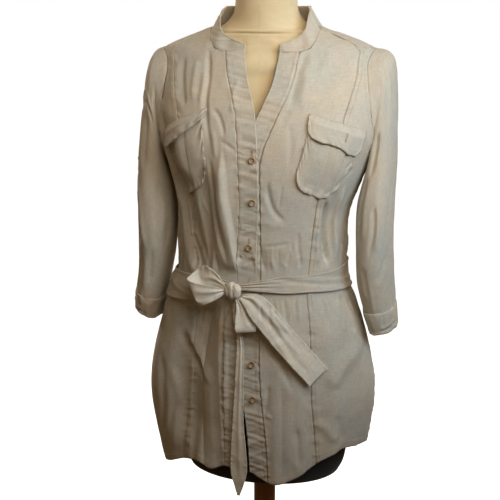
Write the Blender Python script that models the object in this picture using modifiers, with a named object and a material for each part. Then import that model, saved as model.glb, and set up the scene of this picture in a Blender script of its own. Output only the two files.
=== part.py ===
"""A linen safari jacket on a limbless dress form with a pole and a round foot.

Units are metres and +Z is up. The origin is the centre of the foot's underside, on the pole's axis.
The jacket's front faces -Y, and +X is the wearer's left. A "turn" is an angle in degrees round the
jacket from its centre front, positive towards the wearer's left, so 90 is the left side, 180 the
centre back and -90 the right side.
"""

import math

import bmesh
import bpy
from mathutils import Vector

# ---------------------------------------------------------------- driving dimensions
CLOTH = 0.0012  # wall of one layer of linen
SEAM = 0.0003  # gap between two pieces at a seam
LAY = 0.00098  # gap under a piece that lies on a panel
UNDERLAP = CLOTH + 0.0006  # how far the left button band sits under the right one

FOOT_RADIUS = 0.170
FOOT_HEIGHT = 0.024
POLE_RADIUS = 0.021
FORM_BOTTOM = 0.553
FORM_WAIST_JOIN = 0.800  # the black lower end of the form meets the cream torso here
NECK_SEAM = 1.371

HEM_BLEND_TOP = 0.78  # rows under this height follow the hem's curve
HEM_LEVEL = 0.555
UNDERARM = 1.1425
SHOULDER_END = 1.346
NECKLINE_FRONT = 1.341
NECKLINE_SIDE = 1.383
SHOULDER_SEAM_TURN = 80.0  # the shoulder seam lies a little forward
SIDE_TURN = 90.0
ARMHOLE_FRONT = 18.0  # degrees that the armhole reaches forward of the side
ARMHOLE_BACK = 20.0
BAND_WIDTH = 0.035  # each front's sewn-on band

# Height, half width, depth in front, depth behind, sideways shift and squareness of the jacket.
JACKET_SECTIONS = (
    (0.540, 0.184, 0.118, 0.118, -0.006, 2.30),
    (0.600, 0.199, 0.126, 0.126, -0.006, 2.30),
    (0.660, 0.210, 0.131, 0.131, -0.006, 2.30),
    (0.720, 0.215, 0.134, 0.134, -0.006, 2.30),
    (0.780, 0.208, 0.134, 0.132, -0.006, 2.30),
    (0.840, 0.193, 0.131, 0.124, -0.006, 2.30),
    (0.890, 0.177, 0.126, 0.112, -0.008, 2.30),
    (0.920, 0.166, 0.122, 0.104, -0.009, 2.30),
    (0.950, 0.157, 0.119, 0.101, -0.006, 2.30),
    (1.000, 0.158, 0.122, 0.104, -0.006, 2.30),
    (1.060, 0.159, 0.126, 0.108, -0.003, 2.35),
    (1.100, 0.169, 0.129, 0.112, 0.002, 2.40),
    (1.145, 0.184, 0.131, 0.115, 0.006, 2.50),
    (1.200, 0.203, 0.128, 0.116, 0.008, 2.50),
    (1.250, 0.206, 0.115, 0.113, 0.008, 2.45),
    (1.290, 0.203, 0.099, 0.106, 0.008, 2.30),
    (1.320, 0.199, 0.086, 0.097, 0.007, 2.00),
    (1.346, 0.192, 0.074, 0.085, 0.005, 1.75),
    (1.356, 0.171, 0.070, 0.080, 0.004, 1.68),
    (1.368, 0.141, 0.065, 0.074, 0.003, 1.65),
    (1.383, 0.0965, 0.060, 0.068, 0.003, 1.80),
)

# The form under it, with the same columns. Above the last row it follows the jacket's shoulders.
FORM_SECTIONS = (
    (0.553, 0.147, 0.106, 0.106, 0.000, 2.10),
    (0.570, 0.155, 0.111, 0.111, 0.000, 2.15),
    (0.640, 0.161, 0.114, 0.117, 0.000, 2.20),
    (0.720, 0.163, 0.114, 0.118, 0.000, 2.20),
    (0.800, 0.152, 0.110, 0.112, 0.000, 2.20),
    (0.870, 0.133, 0.099, 0.098, 0.000, 2.20),
    (0.940, 0.118, 0.089, 0.086, 0.000, 2.20),
    (1.010, 0.124, 0.095, 0.090, 0.000, 2.20),
    (1.080, 0.136, 0.107, 0.097, 0.000, 2.20),
    (1.150, 0.150, 0.114, 0.101, 0.000, 2.25),
    (1.210, 0.160, 0.105, 0.101, 0.001, 2.30),
    (1.260, 0.170, 0.092, 0.097, 0.003, 2.30),
    (1.300, 0.178, 0.078, 0.090, 0.005, 2.20),
)

# Height, radius across, radius in front, radius behind and squareness of the form's neck.
NECK_SECTIONS = (
    (NECK_SEAM, 0.1130, 0.0560, 0.0600, 1.75),
    (1.3790, 0.0880, 0.0545, 0.0580, 1.75),
    (1.3860, 0.0760, 0.0535, 0.0565, 1.80),
    (1.3940, 0.0665, 0.0530, 0.0550, 1.90),
    (1.4070, 0.0580, 0.0530, 0.0540, 2.00),
    (1.4270, 0.0545, 0.0530, 0.0535, 2.00),
    (1.4550, 0.0530, 0.0530, 0.0530, 2.00),
    (1.4680, 0.0515, 0.0515, 0.0515, 2.00),
)

# Height and gap under the cloth where the form's shoulders carry it.
SHOULDER_GAP = ((1.300, 0.0040), (1.345, 0.0050), (1.358, 0.0024), (1.368, 0.0012), (1.383, 0.0008))

# Upper turn and height, lower turn and height, half width in degrees and rise of each large fold.
# A bodice fold fades at both its ends, and a skirt fold grows from its top and runs off the hem.
BODICE_FOLDS = (
    (61.0, 1.110, 61.0, 0.965, 9.0, -0.009),
    (-21.0, 1.220, -20.0, 0.965, 8.0, 0.004),
    (-38.0, 1.160, -31.0, 0.965, 9.0, -0.007),
    (-55.0, 1.080, -47.0, 0.965, 8.0, 0.005),
    (-70.0, 1.080, -62.0, 0.965, 8.0, -0.006),
    (120.0, 1.120, 124.0, 0.965, 11.0, -0.005),
    (150.0, 1.150, 147.0, 0.965, 12.0, 0.005),
    (-150.0, 1.150, -146.0, 0.965, 12.0, 0.005),
    (-122.0, 1.100, -124.0, 0.965, 11.0, -0.005),
)
SKIRT_FOLDS = (
    (-34.0, 0.900, -36.0, 0.540, 10.0, 0.008),
    (-50.0, 0.900, -56.0, 0.540, 9.0, -0.007),
    (-22.0, 0.860, -21.0, 0.540, 7.0, -0.004),
    (-68.0, 0.900, -74.0, 0.540, 10.0, 0.005),
    (25.0, 0.820, 27.0, 0.540, 10.0, 0.004),
    (45.0, 0.900, 50.0, 0.540, 12.0, -0.005),
    (64.0, 0.900, 68.0, 0.540, 9.0, -0.006),
    (84.0, 0.900, 86.0, 0.540, 11.0, 0.004),
    (108.0, 0.900, 112.0, 0.540, 12.0, -0.007),
    (135.0, 0.900, 138.0, 0.540, 13.0, 0.007),
    (160.0, 0.900, 162.0, 0.540, 12.0, -0.006),
    (-170.0, 0.900, -172.0, 0.540, 13.0, 0.006),
    (-145.0, 0.900, -148.0, 0.540, 12.0, -0.007),
    (-120.0, 0.900, -122.0, 0.540, 13.0, 0.007),
    (-98.0, 0.900, -100.0, 0.540, 10.0, -0.005),
)

# Turn and height of the hem, from the centre back round the wearer's right to the centre back.
HEM = (
    (-180.0, 0.552),
    (-135.0, 0.556),
    (-100.0, 0.568),
    (-72.0, 0.560),
    (-55.0, 0.578),
    (-38.0, 0.572),
    (-20.0, 0.590),
    (0.0, 0.582),
    (22.0, 0.560),
    (38.0, 0.574),
    (60.0, 0.612),
    (80.0, 0.614),
    (105.0, 0.588),
    (140.0, 0.562),
    (180.0, 0.552),
)

# Height and turn of the seam between the centre front and the side front, alike on both sides.
PRINCESS = (
    (0.540, 51.0),
    (0.620, 48.3),
    (0.750, 44.7),
    (0.850, 45.0),
    (0.940, 46.5),
    (1.000, 47.8),
    (1.060, 48.0),
    (1.100, 46.8),
    (1.170, 49.3),
    (1.235, 57.0),
    (1.270, 63.0),
    (1.300, 69.0),
    (1.320, 73.0),
    (1.346, 78.5),
)

# Height and place across of the right front's edge, which laps over, and of the left front's edge.
RIGHT_EDGE = (
    (0.540, -0.013),
    (0.800, -0.0140),
    (0.870, -0.0115),
    (0.905, 0.000),
    (0.940, 0.008),
    (1.000, 0.010),
    (1.090, 0.0146),
    (1.160, 0.013),
    (1.230, 0.0075),
    (1.260, 0.000),
    (1.300, -0.013),
    (1.341, -0.0215),
)
LEFT_EDGE = (
    (0.540, -0.003),
    (0.620, -0.005),
    (0.760, -0.016),
    (0.900, -0.018),
    (1.150, -0.018),
    (1.180, -0.012),
    (1.230, 0.0075),
    (1.287, 0.030),
    (1.341, 0.038),
)

# Height and depth of the left band under the face: the right band covers it up to the V's point.
LEFT_BAND_UNDER = ((0.540, UNDERLAP), (1.225, UNDERLAP), (1.270, 0.0), (1.341, 0.0))

# Height and turn of the neckline in front, between the bands and the shoulder seam.
NECKLINE = ((SHOULDER_END, 53.0), (1.356, 59.0), (1.365, 64.5), (1.373, 70.0), (1.380, 77.5))

# Outer and inner edge across and up, middle and half depth of each ring of a sleeve.
SLEEVE_LEFT = (
    (0.2140, 1.3420, 0.1940, 1.1340, 0.006, 0.0615),
    (0.2265, 1.3290, 0.1870, 1.1220, 0.008, 0.0650),
    (0.2330, 1.3000, 0.1790, 1.1050, 0.008, 0.0660),
    (0.2365, 1.2500, 0.1725, 1.0850, 0.006, 0.0660),
    (0.2380, 1.1900, 0.1690, 1.0600, 0.002, 0.0655),
    (0.2375, 1.1100, 0.1700, 1.0200, -0.005, 0.0650),
    (0.2370, 1.0200, 0.1720, 0.9700, -0.008, 0.0635),
    (0.2395, 0.9500, 0.1750, 0.9230, -0.003, 0.0620),
    (0.2440, 0.8900, 0.1855, 0.8790, 0.004, 0.0600),
    (0.2465, 0.8480, 0.1985, 0.8380, 0.010, 0.0570),
)
SLEEVE_RIGHT = (
    (0.2020, 1.3410, 0.1830, 1.1340, 0.006, 0.0615),
    (0.2135, 1.3280, 0.1790, 1.1220, 0.008, 0.0650),
    (0.2215, 1.3000, 0.1740, 1.1050, 0.008, 0.0660),
    (0.2270, 1.2500, 0.1705, 1.0850, 0.006, 0.0660),
    (0.2330, 1.1900, 0.1700, 1.0600, 0.002, 0.0660),
    (0.2375, 1.1100, 0.1705, 1.0200, -0.005, 0.0660),
    (0.2380, 1.0200, 0.1770, 0.9700, -0.007, 0.0645),
    (0.2395, 0.9500, 0.1880, 0.9230, -0.001, 0.0630),
    (0.2475, 0.8980, 0.1980, 0.8790, 0.004, 0.0620),
    (0.2505, 0.8640, 0.2090, 0.8380, 0.010, 0.0600),
)
SLEEVE_SIDES = 16
SLEEVE_SQUARENESS = 2.3
CUFF_DROP = 0.003  # how far the turned-up cuff reaches past the sleeve's end

POCKET_TURN = 53.0
POCKET_TOP = 1.221
POCKET_BEND = 0.190  # radius that turns a width across the chest into a turn
POCKET_HALF_WIDTH = 0.0485
POCKET_DEPTH = 0.124
POCKET_CORNER = 0.034
POCKET_BULGE = 0.004
FLAP_HALF_WIDTH = 0.0505
FLAP_DEPTH = 0.043
FLAP_CORNER = 0.016
POCKET_TILT_LEFT = (18.0, 18.0)  # how far the pocket's top slopes, and how far its sides lean
POCKET_TILT_RIGHT = (25.0, 10.0)

BUTTON_RADIUS = 0.006
BUTTON_THICKNESS = 0.0024
BUTTON_SEAT = 0.0008
BUTTONS_ON_RIGHT_BAND = ((0.0035, 1.162), (0.0035, 1.089), (-0.0035, 1.008), (-0.0035, 0.940))
BUTTONS_ON_LEFT_BAND = ((0.001, 0.867), (0.0035, 0.796), (0.006, 0.730))

BELT_HALF_WIDTH = 0.025
BELT_PINCH = 0.0065
BELT_WALL = 0.0014
BELT_LAY = 0.0022
BELT_OVER_BUTTON = 0.0042
BELT_COLUMNS = 40
KNOT_ACROSS = -0.028
KNOT_HEIGHT = 0.930
KNOT_LAY = 0.0087
KNOT_SIZE = (0.0150, 0.0095, 0.0145)

# Turn and height of the belt's middle.
BELT_LINE = (
    (-180.0, 0.926),
    (-90.0, 0.914),
    (-50.0, 0.922),
    (-17.0, 0.933),
    (15.0, 0.940),
    (50.0, 0.942),
    (90.0, 0.940),
    (180.0, 0.926),
)

# Across, height, distance off the jacket and half width along each loop and end of the belt.
BOW_LOOP = (
    (-0.0415, 0.927, 0.0215, 0.0065),
    (-0.059, 0.924, 0.0260, 0.0135),
    (-0.079, 0.918, 0.0300, 0.0205),
    (-0.094, 0.917, 0.0290, 0.0225),
    (-0.102, 0.924, 0.0220, 0.0220),
    (-0.098, 0.934, 0.0140, 0.0200),
    (-0.082, 0.942, 0.0105, 0.0180),
    (-0.062, 0.939, 0.0105, 0.0120),
    (-0.0425, 0.933, 0.0120, 0.0065),
)
HANGING_LOOP = (
    (-0.022, 0.9150, 0.0200, 0.0065),
    (-0.014, 0.898, 0.0225, 0.0105),
    (-0.006, 0.878, 0.0235, 0.0140),
    (-0.003, 0.865, 0.0215, 0.0150),
    (-0.004, 0.859, 0.0165, 0.0150),
    (-0.007, 0.864, 0.0115, 0.0145),
    (-0.013, 0.880, 0.0090, 0.0120),
    (-0.019, 0.898, 0.0085, 0.0095),
    (-0.023, 0.9145, 0.0110, 0.0065),
)
SLANTING_END = (
    (-0.0108, 0.9215, 0.0210, 0.0070),
    (0.002, 0.909, 0.0300, 0.0120),
    (0.018, 0.889, 0.0300, 0.0170),
    (0.037, 0.868, 0.0230, 0.0205),
    (0.058, 0.844, 0.0150, 0.0225),
    (0.080, 0.820, 0.0090, 0.0240),
    (0.102, 0.796, 0.0070, 0.0245),
    (0.124, 0.772, 0.0065, 0.0250),
)
HANGING_END = (
    (-0.0310, 0.9205, 0.0066, 0.0050),
    (-0.024, 0.880, 0.0048, 0.0060),
    (-0.016, 0.835, 0.0062, 0.0060),
    (-0.017, 0.765, 0.0066, 0.0080),
    (-0.020, 0.690, 0.0066, 0.0100),
    (-0.0205, 0.625, 0.0066, 0.0145),
    (-0.0210, 0.585, 0.0070, 0.0150),
    (-0.0220, 0.555, 0.0070, 0.0085),
    (-0.0235, 0.533, 0.0070, 0.0020),
)
SLANT_ACROSS = (0.73, 0.68)  # across and up: the direction over the slanting end's width
LEVEL_ACROSS = (1.0, 0.0)
UPRIGHT_ACROSS = (0.0, 1.0)

# ---------------------------------------------------------------- curves through the tables


def read(table, key):
    """The row of a table at this key, without the key, on a smooth curve through its rows."""
    last = len(table) - 2
    key = min(max(key, table[0][0]), table[-1][0])
    low = max(i for i in range(last + 1) if table[i][0] <= key)
    step = table[low + 1][0] - table[low][0]
    t = (key - table[low][0]) / step

    def slope(i, column):
        i = min(max(i, 0), last)
        return (table[i + 1][column] - table[i][column]) / (table[i + 1][0] - table[i][0])

    row = []
    for column in range(1, len(table[0])):
        here = slope(low, column)
        before = slope(low - 1, column)
        after = slope(low + 1, column)
        start = (before + here) / 2 * step if before * here > 0 else 0.0
        end = (here + after) / 2 * step if here * after > 0 else 0.0
        row.append(
            table[low][column] * (1 + 2 * t) * (1 - t) ** 2
            + table[low + 1][column] * t * t * (3 - 2 * t)
            + start * t * (1 - t) ** 2
            - end * t * t * (1 - t)
        )
    return row


def signed(turn):
    """The same turn between -180 and 180."""
    return (turn + 180.0) % 360.0 - 180.0


def oval(turn, half, front, back, squareness):
    """Distance from the middle to an oval of unequal depths, in the direction of a turn."""
    across = abs(math.sin(math.radians(turn))) / half
    along = math.cos(math.radians(turn))
    along = abs(along) / (front if along > 0 else back)
    return (across**squareness + along**squareness) ** (-1 / squareness)


def even(turn, half, front, back):
    """The turn's place in even steps round an oval: 0, 90, 180 and 270 stay where they are."""
    depth = front if math.cos(math.radians(turn)) > 0 else back
    angle = math.radians(turn)
    step = math.degrees(math.atan2(math.sin(angle) / half, math.cos(angle) / depth))
    return turn + signed(step - turn)


def from_even(step, half, front, back):
    """The turn at a place in even steps round the same oval."""
    depth = front if math.cos(math.radians(step)) > 0 else back
    angle = math.radians(step)
    turn = math.degrees(math.atan2(half * math.sin(angle), depth * math.cos(angle)))
    return step + signed(turn - step)


def fold_rise(turn, height):
    """How far the folds that pass this place lift the cloth."""
    rise = 0.0
    for fold in BODICE_FOLDS + SKIRT_FOLDS:
        top_turn, top, bottom_turn, bottom, half_width, most = fold
        down = (top - height) / (top - bottom)
        if down <= 0 or (down >= 1 and fold in BODICE_FOLDS):
            continue
        off = signed(turn - top_turn - (bottom_turn - top_turn) * down) / half_width
        if abs(off) >= 1:
            continue
        fade = math.sin(math.pi * down) if fold in BODICE_FOLDS else min(1.0, down * 2.5)
        rise += most * fade * math.cos(math.pi * off / 2) ** 2
    return rise


def skin(turn, height):
    """Point of the jacket's outer face."""
    half, front, back, shift, squareness = read(JACKET_SECTIONS, height)
    reach = oval(turn, half, front, back, squareness) + fold_rise(turn, height)
    angle = math.radians(turn)
    return Vector((shift + reach * math.sin(angle), -reach * math.cos(angle), height))


def on_jacket(turn, height, out=0.0):
    """Point of the jacket's outer face, moved out along the face's normal."""
    place = skin(turn, height)
    if out == 0.0:
        return place
    across = skin(turn + 1.5, height) - skin(turn - 1.5, height)
    up = skin(turn, height + 0.004) - skin(turn, height - 0.004)
    return place + across.cross(up).normalized() * out


def turn_at(across, height):
    """The turn at which the front lies this far across."""
    half, front, back, shift, squareness = read(JACKET_SECTIONS, height)
    turn = 0.0
    for _ in range(20):
        reach = oval(turn, half, front, back, squareness)
        turn = math.degrees(math.asin(max(-0.98, min(0.98, (across - shift) / reach))))
    return turn


def on_front(across, height, out=0.0):
    return on_jacket(turn_at(across, height), height, out)


# ---------------------------------------------------------------- mesh helpers


def material(name, colour, roughness):
    made = bpy.data.materials.new(name)
    made.use_nodes = True
    shader = made.node_tree.nodes["Principled BSDF"]
    shader.inputs["Base Color"].default_value = (*colour, 1.0)
    shader.inputs["Roughness"].default_value = roughness
    return made


def add(name, mesh, finish):
    piece = bpy.data.objects.new(name, mesh)
    piece.data.materials.append(finish)
    PIECES.objects.link(piece)
    return piece


def grid(name, columns, rows, place, finish, wrap=False, capped=False):
    """A surface of columns by rows faces, whose corner (i, j) goes to place(i, j)."""
    work = bmesh.new()
    bmesh.ops.create_grid(work, x_segments=columns, y_segments=rows, size=0.5)
    for corner in work.verts:
        i = round((corner.co.x + 0.5) * columns)
        j = round((corner.co.y + 0.5) * rows)
        corner.co = place(0 if wrap and i == columns else i, j)
    if wrap:
        bmesh.ops.remove_doubles(work, verts=work.verts, dist=1e-6)
    if capped:
        rims = [edge for edge in work.edges if edge.is_boundary]
        bmesh.ops.holes_fill(work, edges=rims, sides=0)
        bmesh.ops.recalc_face_normals(work, faces=work.faces)
    mesh = bpy.data.meshes.new(name)
    work.to_mesh(mesh)
    work.free()
    mesh.shade_smooth()
    return add(name, mesh, finish)


def cloth(name, columns, rows, place, finish, wall=CLOTH, wrap=False):
    """A grid given the thickness of cloth, inwards from its outer face."""
    piece = grid(name, columns, rows, place, finish, wrap)
    solid = piece.modifiers.new("wall", "SOLIDIFY")
    solid.thickness = wall
    solid.offset = -1.0
    return piece


def walled(name, columns, rows, place, finish):
    """Cloth on the jacket: place(i, j, deep) gives a corner on the outer face or deep under it."""
    work = bmesh.new()
    faces = []
    for deep in (0.0, CLOTH):
        made = bmesh.ops.create_grid(work, x_segments=columns, y_segments=rows, size=0.5)["verts"]
        for corner in made:
            i = round((corner.co.x + 0.5) * columns)
            j = round((corner.co.y + 0.5) * rows)
            corner.co = place(i, j, deep)
        faces.append({face for corner in made for face in corner.link_faces})
    bmesh.ops.reverse_faces(work, faces=list(faces[1]))
    rims = [edge for edge in work.edges if edge.is_boundary]
    bmesh.ops.bridge_loops(work, edges=rims)
    bmesh.ops.recalc_face_normals(work, faces=work.faces)
    mesh = bpy.data.meshes.new(name)
    work.to_mesh(mesh)
    work.free()
    mesh.shade_smooth()
    return add(name, mesh, finish)


# ---------------------------------------------------------------- body panels
ARMHOLE_MIDDLE = (UNDERARM + SHOULDER_END) / 2
ARMHOLE_HALF = (SHOULDER_END - UNDERARM) / 2
SKIRT_ROWS = [HEM_LEVEL, 0.595, 0.645, 0.695, 0.745, 0.795, 0.845, 0.888]
WAIST_ROWS = [0.912, 0.935, 0.958, 0.990, 1.030, 1.070, 1.110]
ARMHOLE_ROWS = [
    ARMHOLE_MIDDLE - ARMHOLE_HALF * math.cos(2 * math.pi * k / SLEEVE_SIDES)
    for k in range(SLEEVE_SIDES // 2 + 1)
]
LOW_ROWS = SKIRT_ROWS + WAIST_ROWS
NECK_ROWS = [height for height, turn in NECKLINE]


def hemmed(turn, height):
    """Brings a low row down to the hem's curve."""
    share = (HEM_BLEND_TOP - height) / (HEM_BLEND_TOP - HEM_LEVEL)
    if share <= 0:
        return height
    return height + (read(HEM, signed(turn))[0] - HEM_LEVEL) * share


def armhole_reach(height):
    """Share of the armhole's full depth at this height, 0 at its top and bottom."""
    return math.sqrt(max(0.0, 1 - ((height - ARMHOLE_MIDDLE) / ARMHOLE_HALF) ** 2))


def seam_share(turn, height):
    """Half a seam's gap, in degrees at this place."""
    return math.degrees(SEAM / 2 / skin(turn, height).xy.length)


def panel(name, heights, start, end, columns, finish, under=None):
    """A panel between two border turns, each a function of the height. Under is how deep it lies."""

    def place(i, j, deep):
        height = heights[j]
        low = start(height)
        high = end(height)
        low += seam_share(low, height)
        high -= seam_share(high, height)
        size = read(JACKET_SECTIONS, height)[:3]
        first = even(low, *size)
        turn = from_even(first + (even(high, *size) - first) * i / columns, *size)
        sunk = read(under, height)[0] if under else 0.0
        return on_jacket(turn, hemmed(turn, height), -sunk - deep)

    return walled(name, columns, len(heights) - 1, place, finish)


def front_seam(side, height):
    """Turn of the seam between a front and its band, or of the neckline above the band."""
    if height > NECKLINE_FRONT:
        return side * read(NECKLINE, height)[0]
    if side < 0:
        return turn_at(read(RIGHT_EDGE, height)[0] - BAND_WIDTH, height)
    return turn_at(read(LEFT_EDGE, height)[0] + BAND_WIDTH, height)


def princess(side, height):
    if height > SHOULDER_END:
        return side * SHOULDER_SEAM_TURN
    return side * read(PRINCESS, height)[0]


def side_front_end(side, height):
    return side * (SIDE_TURN - ARMHOLE_FRONT * armhole_reach(height))


def back_start(height):
    if height > SHOULDER_END:
        return SHOULDER_SEAM_TURN
    return SIDE_TURN + ARMHOLE_BACK * armhole_reach(height)


def make_fronts(finish):
    band_rows = LOW_ROWS + ARMHOLE_ROWS[:-1] + [NECKLINE_FRONT]
    centre_rows = band_rows + NECK_ROWS
    side_rows = LOW_ROWS + ARMHOLE_ROWS
    panel(
        "front_left", centre_rows, lambda z: front_seam(1, z), lambda z: princess(1, z), 7, finish
    )
    panel(
        "front_right", centre_rows, lambda z: princess(-1, z), lambda z: front_seam(-1, z), 7, finish
    )
    panel(
        "side_front_left",
        side_rows,
        lambda z: princess(1, z),
        lambda z: side_front_end(1, z),
        4,
        finish,
    )
    panel(
        "side_front_right",
        side_rows,
        lambda z: side_front_end(-1, z),
        lambda z: princess(-1, z),
        4,
        finish,
    )
    panel(
        "front_band_right",
        band_rows,
        lambda z: front_seam(-1, z),
        lambda z: turn_at(read(RIGHT_EDGE, z)[0], z),
        2,
        finish,
    )
    panel(
        "button_band_left",
        band_rows,
        lambda z: turn_at(read(LEFT_EDGE, z)[0], z),
        lambda z: front_seam(1, z),
        2,
        finish,
        LEFT_BAND_UNDER,
    )


BACK_COLUMNS = 16


def make_back(finish):
    heights = LOW_ROWS + ARMHOLE_ROWS + [SHOULDER_END + SEAM] + NECK_ROWS[1:] + [NECKLINE_SIDE]
    panel("back", heights, back_start, lambda z: 360.0 - back_start(z), BACK_COLUMNS, finish)


# ---------------------------------------------------------------- collar
COLLAR_RISE = 0.0355
COLLAR_LEAN = 0.60  # how far the band leans in for each unit that it rises
COLLAR_END_LEAN = 0.16  # the same at the centre front and back
COLLAR_FRONT_RISE = 0.012
COLLAR_ROWS = 3
COLLAR_CORNER = 3  # columns over which each front end rises to its full height


def collar_base():
    """Turns and heights of the seam that the collar stands on, from right front to left front."""
    right_end = turn_at(read(RIGHT_EDGE, NECKLINE_FRONT)[0], NECKLINE_FRONT)
    left_end = turn_at(read(LEFT_EDGE, NECKLINE_FRONT)[0], NECKLINE_FRONT)
    side = [(turn, height) for height, turn in NECKLINE]
    right = [(right_end, NECKLINE_FRONT), (front_seam(-1, NECKLINE_FRONT), NECKLINE_FRONT)]
    left = [(left_end, NECKLINE_FRONT), (front_seam(1, NECKLINE_FRONT), NECKLINE_FRONT)]
    right += [(-turn, height) for turn, height in side]
    left += side
    size = read(JACKET_SECTIONS, NECKLINE_SIDE)[:3]
    first = even(SHOULDER_SEAM_TURN, *size)
    step = (360.0 - 2 * first) / BACK_COLUMNS
    round_back = [
        (-from_even(first + k * step, *size), NECKLINE_SIDE) for k in range(BACK_COLUMNS + 1)
    ]
    return right + round_back + left[::-1]


def make_collar(finish):
    base = collar_base()
    last = len(base) - 1

    def place(i, j):
        k = last - i  # columns run towards the wearer's left in front, so that the face points out
        turn, height = base[k]
        foot = skin(turn, height) + Vector((0.0, 0.0, SEAM + 0.0004))
        from_end = min(k, last - k)
        share = min(1.0, from_end / COLLAR_CORNER)
        rise = COLLAR_FRONT_RISE + (COLLAR_RISE - COLLAR_FRONT_RISE) * share ** 0.7
        inward = Vector((-math.sin(math.radians(turn)), math.cos(math.radians(turn)), 0.0))
        sideways = math.sin(math.radians(turn)) ** 2
        lean = COLLAR_LEAN * sideways + COLLAR_END_LEAN * (1 - sideways)
        up = rise * j / COLLAR_ROWS
        return foot + Vector((0.0, 0.0, up)) + inward * up * lean

    cloth("collar", last, COLLAR_ROWS, place, finish)


# ---------------------------------------------------------------- sleeves and cuffs


def sleeve_point(side, rings, ring, angle, out=0.0):
    """Point of a sleeve's outer face: ring 0 is the armhole, and angle 0 is its top or outer edge."""
    lift = math.cos(angle)
    reach = math.sin(angle)
    if ring == 0:
        height = ARMHOLE_MIDDLE + ARMHOLE_HALF * lift
        depth = ARMHOLE_FRONT if reach > 0 else ARMHOLE_BACK
        turn = SIDE_TURN - depth * reach
        return skin(side * turn, height) + Vector((side * (SEAM + 0.0004), 0.0, 0.0))
    outer_x, outer_z, inner_x, inner_z, middle_y, half_y = rings[ring - 1]
    power = 2 / SLEEVE_SQUARENESS
    across = math.copysign(abs(lift) ** power, lift)
    along = math.copysign(abs(reach) ** power, reach)
    outer = Vector((side * outer_x, middle_y, outer_z))
    inner = Vector((side * inner_x, middle_y, inner_z))
    middle = (outer + inner) / 2
    half = (outer - inner) / 2
    grown = half + half.normalized() * out
    return middle + grown * across + Vector((0.0, -(half_y + out) * along, 0.0))


def make_sleeve(name, side, rings, finish):
    last = len(rings)

    def place(i, j):
        angle = 2 * math.pi * i / SLEEVE_SIDES
        return sleeve_point(side, rings, last - j, angle * -side)

    cloth("sleeve_" + name, SLEEVE_SIDES, last, place, finish, wrap=True)

    def cuff_place(i, j):
        angle = 2 * math.pi * i / SLEEVE_SIDES
        point = sleeve_point(side, rings, last - j, angle * -side, CLOTH + LAY)
        return point - Vector((0.0, 0.0, CUFF_DROP))

    cloth("cuff_" + name, SLEEVE_SIDES, 1, cuff_place, finish, wrap=True)


# ---------------------------------------------------------------- pockets and flaps


def on_chest(side, tilt, across, down, out):
    """Point on a pocket laid on the chest: across is away from the centre front."""
    slope, lean = map(math.radians, tilt)
    over = across * math.cos(slope) - down * math.sin(lean)
    fall = across * math.sin(slope) + down * math.cos(lean)
    turn = POCKET_TURN + math.degrees(over / POCKET_BEND)
    return on_jacket(side * turn, POCKET_TOP - fall, out)


def rounded_patch(name, side, tilt, half_width, top, bottom, corner, columns, rows, out, finish):
    """A patch with round lower corners. out(across, down) gives its distance off the chest."""

    def place(i, j):
        v = 1 - j / rows
        u = (2 * i / columns - 1) * side
        across = half_width * u
        edge = half_width - abs(across)
        lift = 0.0
        if edge < corner:
            lift = corner - math.sqrt(max(0.0, corner**2 - (corner - edge) ** 2))
        down = top + (bottom - top - lift) * v
        return on_chest(side, tilt, across, down, out(u, v))

    cloth(name, columns, rows, place, finish)


def make_pocket(name, side, tilt, finish):
    def pocket_out(u, v):
        belly = math.cos(math.pi * u / 2) * math.sin(math.pi * min(1.0, v + 0.15))
        return CLOTH + LAY + POCKET_BULGE * max(0.0, belly)

    def flap_out(u, v):
        over_pocket = min(1.0, v * 3)
        belly = math.cos(math.pi * u / 2) * 0.8 + 0.2
        return CLOTH + LAY + (CLOTH + LAY + POCKET_BULGE * belly) * over_pocket

    rounded_patch(
        "pocket_" + name,
        side,
        tilt,
        POCKET_HALF_WIDTH,
        0.006,
        POCKET_DEPTH,
        POCKET_CORNER,
        8,
        7,
        pocket_out,
        finish,
    )
    rounded_patch(
        "flap_" + name,
        side,
        tilt,
        FLAP_HALF_WIDTH,
        -0.006,
        FLAP_DEPTH,
        FLAP_CORNER,
        8,
        4,
        flap_out,
        finish,
    )


# ---------------------------------------------------------------- buttons


def make_button(name, across, height, seat, finish):
    work = bmesh.new()
    bmesh.ops.create_cone(
        work,
        cap_ends=True,
        segments=16,
        radius1=BUTTON_RADIUS,
        radius2=BUTTON_RADIUS * 0.86,
        depth=BUTTON_THICKNESS,
    )
    mesh = bpy.data.meshes.new(name)
    work.to_mesh(mesh)
    work.free()
    button = add(name, mesh, finish)
    face = on_front(across, height, 1.0) - on_front(across, height)
    button.location = on_front(across, height, seat + BUTTON_THICKNESS / 2)
    button.rotation_euler = face.to_track_quat("Z", "Y").to_euler()


def make_buttons(finish):
    number = 1
    for across, height in BUTTONS_ON_RIGHT_BAND:
        make_button(f"button_{number}", across, height, BUTTON_SEAT, finish)
        number += 1
    for across, height in BUTTONS_ON_LEFT_BAND:
        make_button(f"button_{number}", across, height, BUTTON_SEAT - UNDERLAP, finish)
        number += 1


# ---------------------------------------------------------------- belt


def belt_half_width(from_knot):
    """The belt is gathered to the knot and opens out away from it."""
    share = min(1.0, abs(from_knot) / 48.0)
    return BELT_PINCH + (BELT_HALF_WIDTH - BELT_PINCH) * math.sin(math.pi / 2 * share) ** 0.8


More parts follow.
